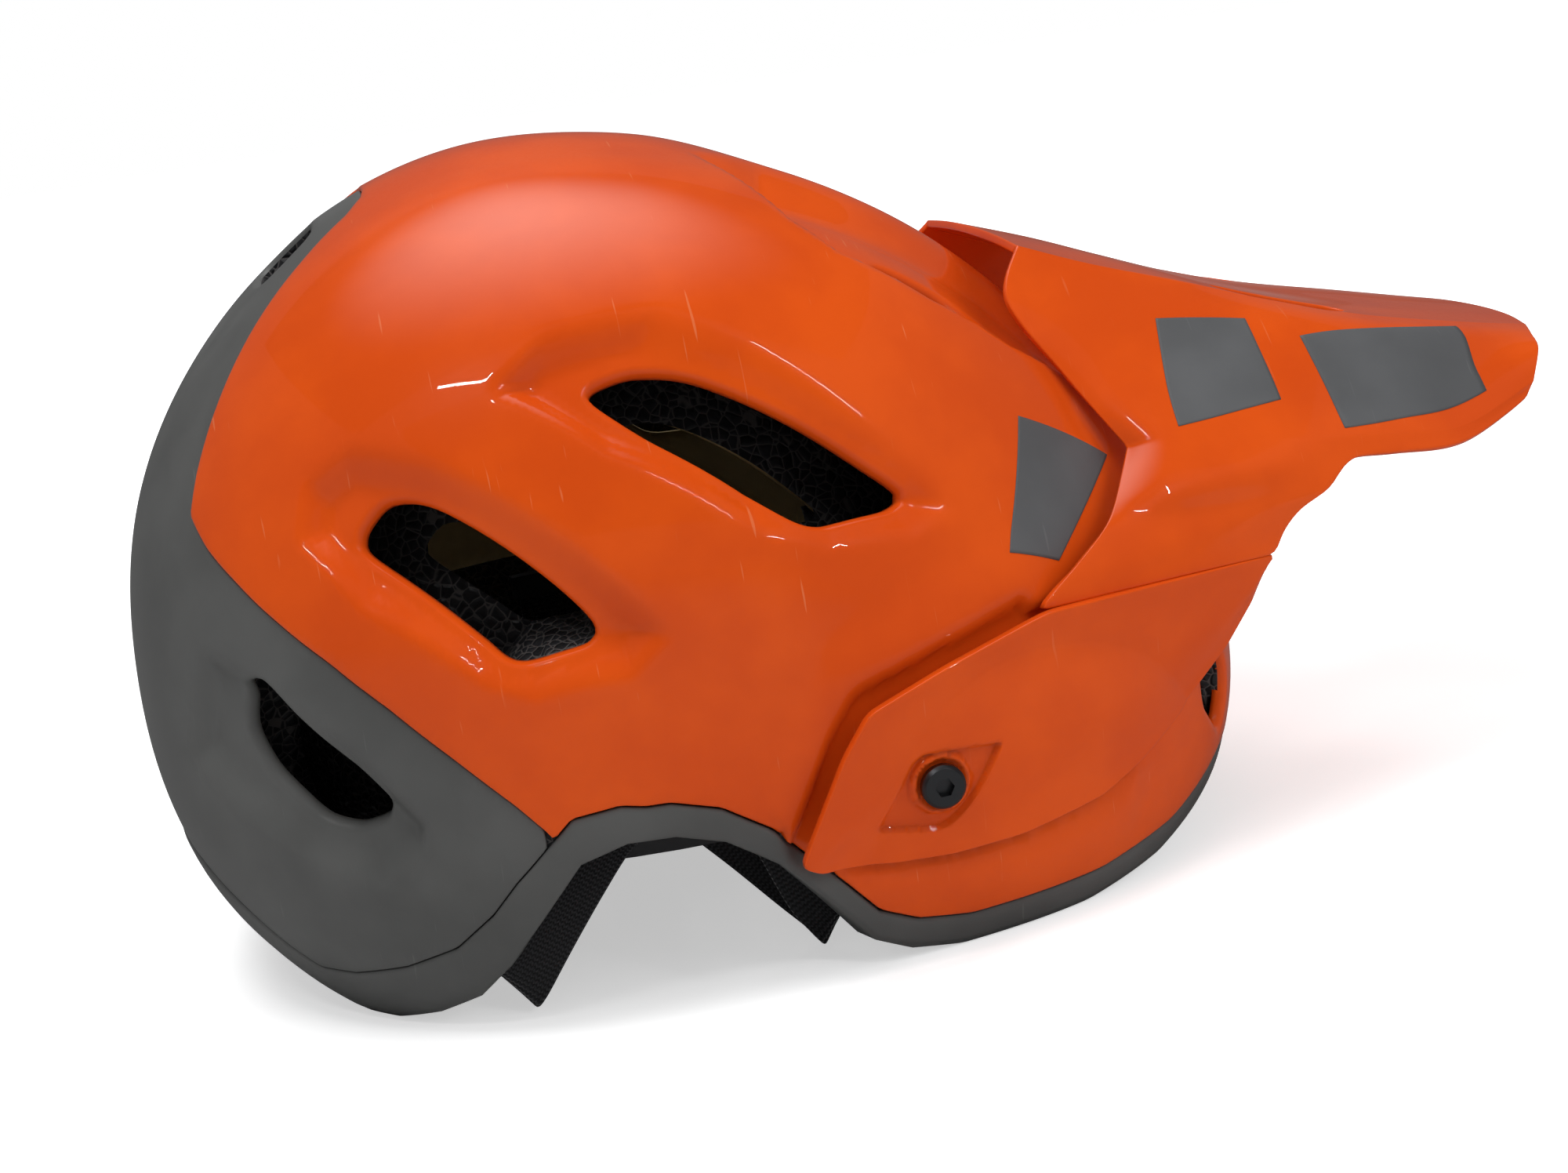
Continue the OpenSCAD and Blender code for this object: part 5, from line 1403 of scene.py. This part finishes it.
def strip_piece(name, path, width_at, node, width, wall):
    """Webbing along a path: rounded selvedges, its weave laid out in metres."""
    run = np.concatenate([[0], np.cumsum(np.linalg.norm(np.diff(path, axis=0), axis=1))])
    t = np.gradient(path, axis=0)
    t /= np.linalg.norm(t, axis=1, keepdims=True)
    w = width_at - t * np.sum(width_at * t, axis=1, keepdims=True)
    w /= np.linalg.norm(w, axis=1, keepdims=True)
    n = np.cross(t, w)
    section = np.array([(-0.5, -0.15), (-0.485, -0.42), (-0.45, -0.5), (-0.2, -0.46), (0, -0.5),
                        (0.2, -0.46), (0.45, -0.5), (0.485, -0.42), (0.5, -0.15), (0.5, 0.15),
                        (0.485, 0.42), (0.45, 0.5), (0.2, 0.46), (0, 0.5), (-0.2, 0.46), (-0.45, 0.5),
                        (-0.485, 0.42), (-0.5, 0.15)])
    bm, a, b = grid_strip(len(path) - 1, len(section))
    i = np.rint(a * (len(path) - 1)).astype(int)
    k = np.rint(b * len(section)).astype(int) % len(section)
    pts = path[i] + w[i] * (section[k, :1] * width) + n[i] * (section[k, 1:] * wall)
    uv = bm.loops.layers.uv.new("Weave")
    for f in bm.faces:
        for loop in f.loops:
            v = loop.vert.index
            loop[uv].uv = (section[k[v], 0] * width / 1000, run[i[v]] / 1000)
    set_points(bm, pts)
    bmesh.ops.remove_doubles(bm, verts=bm.verts[:], dist=0.0005)
    bmesh.ops.holes_fill(bm, edges=boundary(bm), sides=0)
    bmesh.ops.recalc_face_normals(bm, faces=bm.faces[:])
    return piece_from(bm, name, "helmet", "webbing", [node])


# the webbing that bunches up when the tongue is drawn out, and the share of its length that is left
BUNCHED = {"chin_strap_right": 0.5, "strap_tail": 0.43}
CHIN_ROUTES = {
    "chin_strap_left": [(10, 57.3, 40), (10, 53, 34), (10, 45, 28), (10, 38, 24.5), (10, 32, 22),
                        (10, 27.3, 22)],
    "chin_strap_right": [(10, -57.3, 40), (10, -53, 34), (10, -45, 28), (10, -36, 24), (10, -26, 22),
                         (10, -15.6, 22)],
    "strap_tail": [(10, -15.9, 25.2), (10, -24, 25.2), (10, -36, 27.4), (10, -45, 31.8), (10, -50.5, 38),
                   (10, -52, 46)],
}


class HELMET_OT_straps(bpy.types.Operator):
    """Webbing from the foam, folded back inside to the dividers, and the chin straps"""

    bl_idname = "helmet.straps"
    bl_label = "Straps"

    def execute(self, context):
        s = sizes()
        width, wall = s.web_width * 1000, s.web_wall * 1000
        lay = -2.5
        rear = [inner_at(96, 60, lay), inner_at(97, 50, lay), (-4, 80, 42), (-12, 80.5, 33),
                (-20, 80.5, 23), (-27.5, 80, 13), (-30, 76.5, 8.5), (-27, 71.5, 11), (-20.5, 66, 20),
                (-12, 62, 29), (-4.6, 60, 37)]
        front = [inner_at(73, 60, lay), inner_at(73, 50, lay), (39.5, 80, 38), (42.5, 81, 28),
                 (46.5, 81, 17), (50, 80.5, 11), (51, 77, 8.3), (49, 72.5, 10.5), (43, 69, 17),
                 (34, 64, 27), (24.6, 60, 37)]
        rear_w = [(0.98, 0.15, 0)] * 2 + [(0.76, 0.1, -0.65)] * 3 + [(0.6, 0.1, -0.8)] * 6
        front_w = [(0.99, -0.14, 0)] * 2 + [(0.95, -0.1, 0.3)] * 3 + [(0.6, 0, 0.8)] * 6
        for word, turn in SIDES:
            flip = np.array([1.0, turn, 1.0])
            for name, pts, ws in (("rear", rear, rear_w), ("front", front, front_w)):
                path = route(pts, 10) * flip
                t = np.linspace(0, len(ws) - 1, len(path))
                columns = np.array(ws, float).T
                w = np.column_stack([np.interp(t, range(len(ws)), c) for c in columns]) * flip
                strip_piece(f"Strap {name} {word}", path, w, f"strap_{name}_{word}", width, wall)
        for node, pts in CHIN_ROUTES.items():
            path = route(pts, 10)
            name = node.replace("_", " ").capitalize()
            strip = strip_piece(name, path, np.tile((1.0, 0.0, 0.0), (len(path), 1)), node, width, wall)
            if node in BUNCHED:
                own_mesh(strip)
        return {"FINISHED"}


def pair(*names):
    return [f"{name}_{word}" for name in names for word, _ in SIDES]


NODE_FINISHES = {
    "fitting black": [*pair("strap_anchor_front", "strap_anchor_rear", "strap_divider"), "buckle_socket",
                      "buckle_tongue", "strap_keeper", "cradle_rail", *pair("belt", "belt_anchor"),
                      "cradle_frame", "dial_housing", "housing_cover", "dial_knob"],
    "slip sheet": ["slip_stud_front", "slip_stud_rear", *pair("slip_stud")],
    "gear nylon": ["dial_pinion", *pair("rack")],
    "insert brass": pair("visor_insert"),
    "screw steel": pair("visor_screw"),
}
SOFTENED = [*pair("strap_divider", "visor_screw"), "buckle_socket", "buckle_tongue", "strap_keeper",
            "dial_housing", "dial_knob", "cradle_rail"]


class HELMET_OT_fittings(bpy.types.Operator):
    """Finishes and softened edges for the fittings, screws and dial, whose shapes come with the frame"""

    bl_idname = "helmet.fittings"
    bl_label = "Fittings"

    def execute(self, context):
        for finish, nodes in NODE_FINISHES.items():
            for name in nodes:
                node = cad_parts[name]
                node.data.materials.clear()
                node.data.materials.append(material(finish))
                if name in SOFTENED:
                    soften(node, 0.00035)
        return {"FINISHED"}


# place, aim, width, height and power of each lamp, and whether gloss mirrors it
LAMPS = {
    "Key softbox": ((-0.3, -0.3, 1.45), (0.0, 0.0, 0.1), 0.55, 0.55, 10.5, False),
    "Fill softbox": ((1.2, -0.7, 0.9), (0.05, 0.0, 0.1), 0.7, 0.7, 4.0, False),
    "Back softbox": ((-0.2, 1.3, 1.1), (0.0, 0.0, 0.12), 0.9, 0.6, 8.0, False),
    "Strip lamp": ((-0.42, -0.62, 0.98), (-0.05, -0.03, 0.16), 0.30, 0.012, 1.2, True),
    "Side strip": ((0.55, -0.95, 0.75), (0.05, -0.05, 0.1), 0.012, 0.5, 1.5, True),
}
EYE = (-44.758534, -602.832727, 234.880444)
EYE_AXES = [(0.96654657, -0.21241604, -0.14376072), (0.19178402, 0.22634651, 0.95497966),
            (-0.17031326, -0.95060332, 0.25951245)]


def ray_masks(tree):
    """Masks of what is seen directly or through something clear, and of what is seen in gloss."""
    path = add_node(tree, "ShaderNodeLightPath").outputs
    return math_node("MAXIMUM", path["Is Camera Ray"], path["Is Transmission Ray"]), path["Is Glossy Ray"]


class HELMET_OT_stage(bpy.types.Operator):
    """Pale floor, soft lamps and the camera"""

    bl_idname = "helmet.stage"
    bl_label = "Stage"

    def execute(self, context):
        scene = context.scene
        scene.view_settings.view_transform = "Standard"
        self.light_world()
        bm = bmesh.new()
        bmesh.ops.create_circle(bm, cap_ends=True, segments=96, radius=4.0)
        floor = placed("Floor", mesh_of(bm, "Floor"))
        floor.data.materials.append(self.floor_paper())
        self.card("Dark flag", (-0.35, -1.5, 0.95), (1.9, 1.3), (62, 0, -8), 0.0)
        self.card("Sheen", (-0.05, 0.3, 1.2), (2.4, 1.8), (0, 0, 0), 3.5)
        for name, values in LAMPS.items():
            self.lamp(name, *values)
        camera = bpy.data.cameras.new("Camera")
        camera.lens = 54.0
        camera.sensor_width = 36.0
        camera.clip_start = 0.05
        eye = placed("Camera", camera)
        turn = Matrix(EYE_AXES).transposed().to_4x4()
        eye.matrix_world = Matrix.Translation(to_metres(EYE).tolist()) @ turn
        scene.camera = eye
        return {"FINISHED"}

    def light_world(self):
        """White where it is seen directly, and a plain pale grey as light."""
        world = bpy.data.worlds.new("Studio")
        bpy.context.scene.world = world
        world.use_nodes = True
        seen, glossy = ray_masks(world.node_tree)
        room = mix_colour(glossy, (0.34, 0.34, 0.345), (0.12, 0.12, 0.125))
        background = next(n for n in world.node_tree.nodes if n.type == "BACKGROUND")
        fill(background, Color=mix_colour(seen, room, (1.0, 1.0, 1.0)))

    def floor_paper(self):
        """Pale paper that fades to white away from the helmet and stays dark in gloss."""
        mat, tree, bsdf = shader_of("Floor paper", Roughness=0.9, Specular_IOR_Level=0.1)
        grain = use_group(tree, grain_group, Fine_scale=60.0, Bump=0.02, Distance=0.0005)
        seen, glossy = ray_masks(tree)
        paper = mix_colour(grain["Cloud"], (0.86, 0.86, 0.86), (0.9, 0.9, 0.9))
        fill(bsdf, Base_Color=mix_colour(glossy, paper, (0.25, 0.25, 0.25)))
        far = times(ramp(from_middle(tree), 0.35, 0.9), 0.5)
        glow = add_node(tree, "ShaderNodeEmission", Strength=times(seen, plus(far, 0.5)))
        both = add_node(tree, "ShaderNodeAddShader")
        put(both.inputs[0], bsdf.outputs["BSDF"])
        put(both.inputs[1], glow.outputs["Emission"])
        fill(next(n for n in tree.nodes if n.type == "OUTPUT_MATERIAL"), Surface=both.outputs["Shader"])
        return mat

    def card(self, name, place, size, turn, glow):
        """A studio card that only reflections see: dark, or glowing softly towards its middle."""
        bm = bmesh.new()
        bmesh.ops.create_grid(bm, x_segments=1, y_segments=1, size=0.5)
        bmesh.ops.scale(bm, vec=(*size, 1), verts=bm.verts[:])
        card = placed(name, mesh_of(bm, name))
        card.location = place
        card.rotation_euler = [math.radians(t) for t in turn]
        mat, tree, bsdf = shader_of(name, Roughness=1.0, Specular_IOR_Level=0.0)
        grain = use_group(tree, grain_group, Fine_scale=20.0, Bump=0.0)
        fill(bsdf, Base_Color=mix_colour(grain["Cloud"], (0.02, 0.02, 0.02), (0.05, 0.05, 0.05)))
        if glow:
            fade = math_node("SUBTRACT", 1.0, ramp(from_middle(tree), 0.0, 0.5 * min(size)))
            fill(bsdf, Emission_Color=(1.0, 1.0, 1.0), Emission_Strength=times(fade, glow))
        card.data.materials.append(mat)
        card.visible_camera = False
        card.visible_shadow = False
        card.visible_diffuse = False

    def lamp(self, name, place, aim, width, height, power, mirrored):
        """A rectangular lamp turned towards a point."""
        light = bpy.data.lights.new(name, "AREA")
        light.shape = "RECTANGLE"
        light.size = width
        light.size_y = height
        light.energy = power
        lamp = placed(name, light)
        lamp.location = place
        lamp.rotation_euler = (Vector(place) - Vector(aim)).to_track_quat("Z", "Y").to_euler()
        lamp.visible_glossy = mirrored


OPERATORS = [HELMET_OT_stage, HELMET_OT_upper_shell, HELMET_OT_rear_shell, HELMET_OT_rim_trim,
             HELMET_OT_foam, HELMET_OT_visor, HELMET_OT_visor_arms, HELMET_OT_blocks, HELMET_OT_slip_liner,
             HELMET_OT_pads, HELMET_OT_straps, HELMET_OT_fittings]


class HELMET_PT_panel(bpy.types.Panel):
    """Lists the helmet's pieces in the sidebar"""

    bl_idname = "HELMET_PT_panel"
    bl_label = "Trail Helmet"
    bl_space_type = "VIEW_3D"
    bl_region_type = "UI"
    bl_category = "Trail Helmet"

    def draw(self, context):
        layout = self.layout
        for group in (context.scene.helmet_sizes, context.scene.helmet_colours):
            box = layout.box()
            for name in group.bl_rna.properties.keys():
                if name not in {"rna_type", "name"}:
                    box.prop(group, name)
        for op in OPERATORS:
            layout.operator(op.bl_idname)


CLASSES = (HelmetSizes, HelmetColours, *OPERATORS, HELMET_PT_panel)


def register():
    for cls in CLASSES:
        bpy.utils.register_class(cls)
    bpy.types.Scene.helmet_sizes = PointerProperty(type=HelmetSizes)
    bpy.types.Scene.helmet_colours = PointerProperty(type=HelmetColours)


def unregister():
    del bpy.types.Scene.helmet_colours
    del bpy.types.Scene.helmet_sizes
    for cls in reversed(CLASSES):
        bpy.utils.unregister_class(cls)


def main():
    register()
    for op in OPERATORS:
        group, name = op.bl_idname.split(".")
        result = getattr(getattr(bpy.ops, group), name)()
        if "FINISHED" not in result:
            raise RuntimeError(f"{op.bl_label} was not built")
    bpy.context.view_layer.update()


if __name__ == "__main__":
    main()
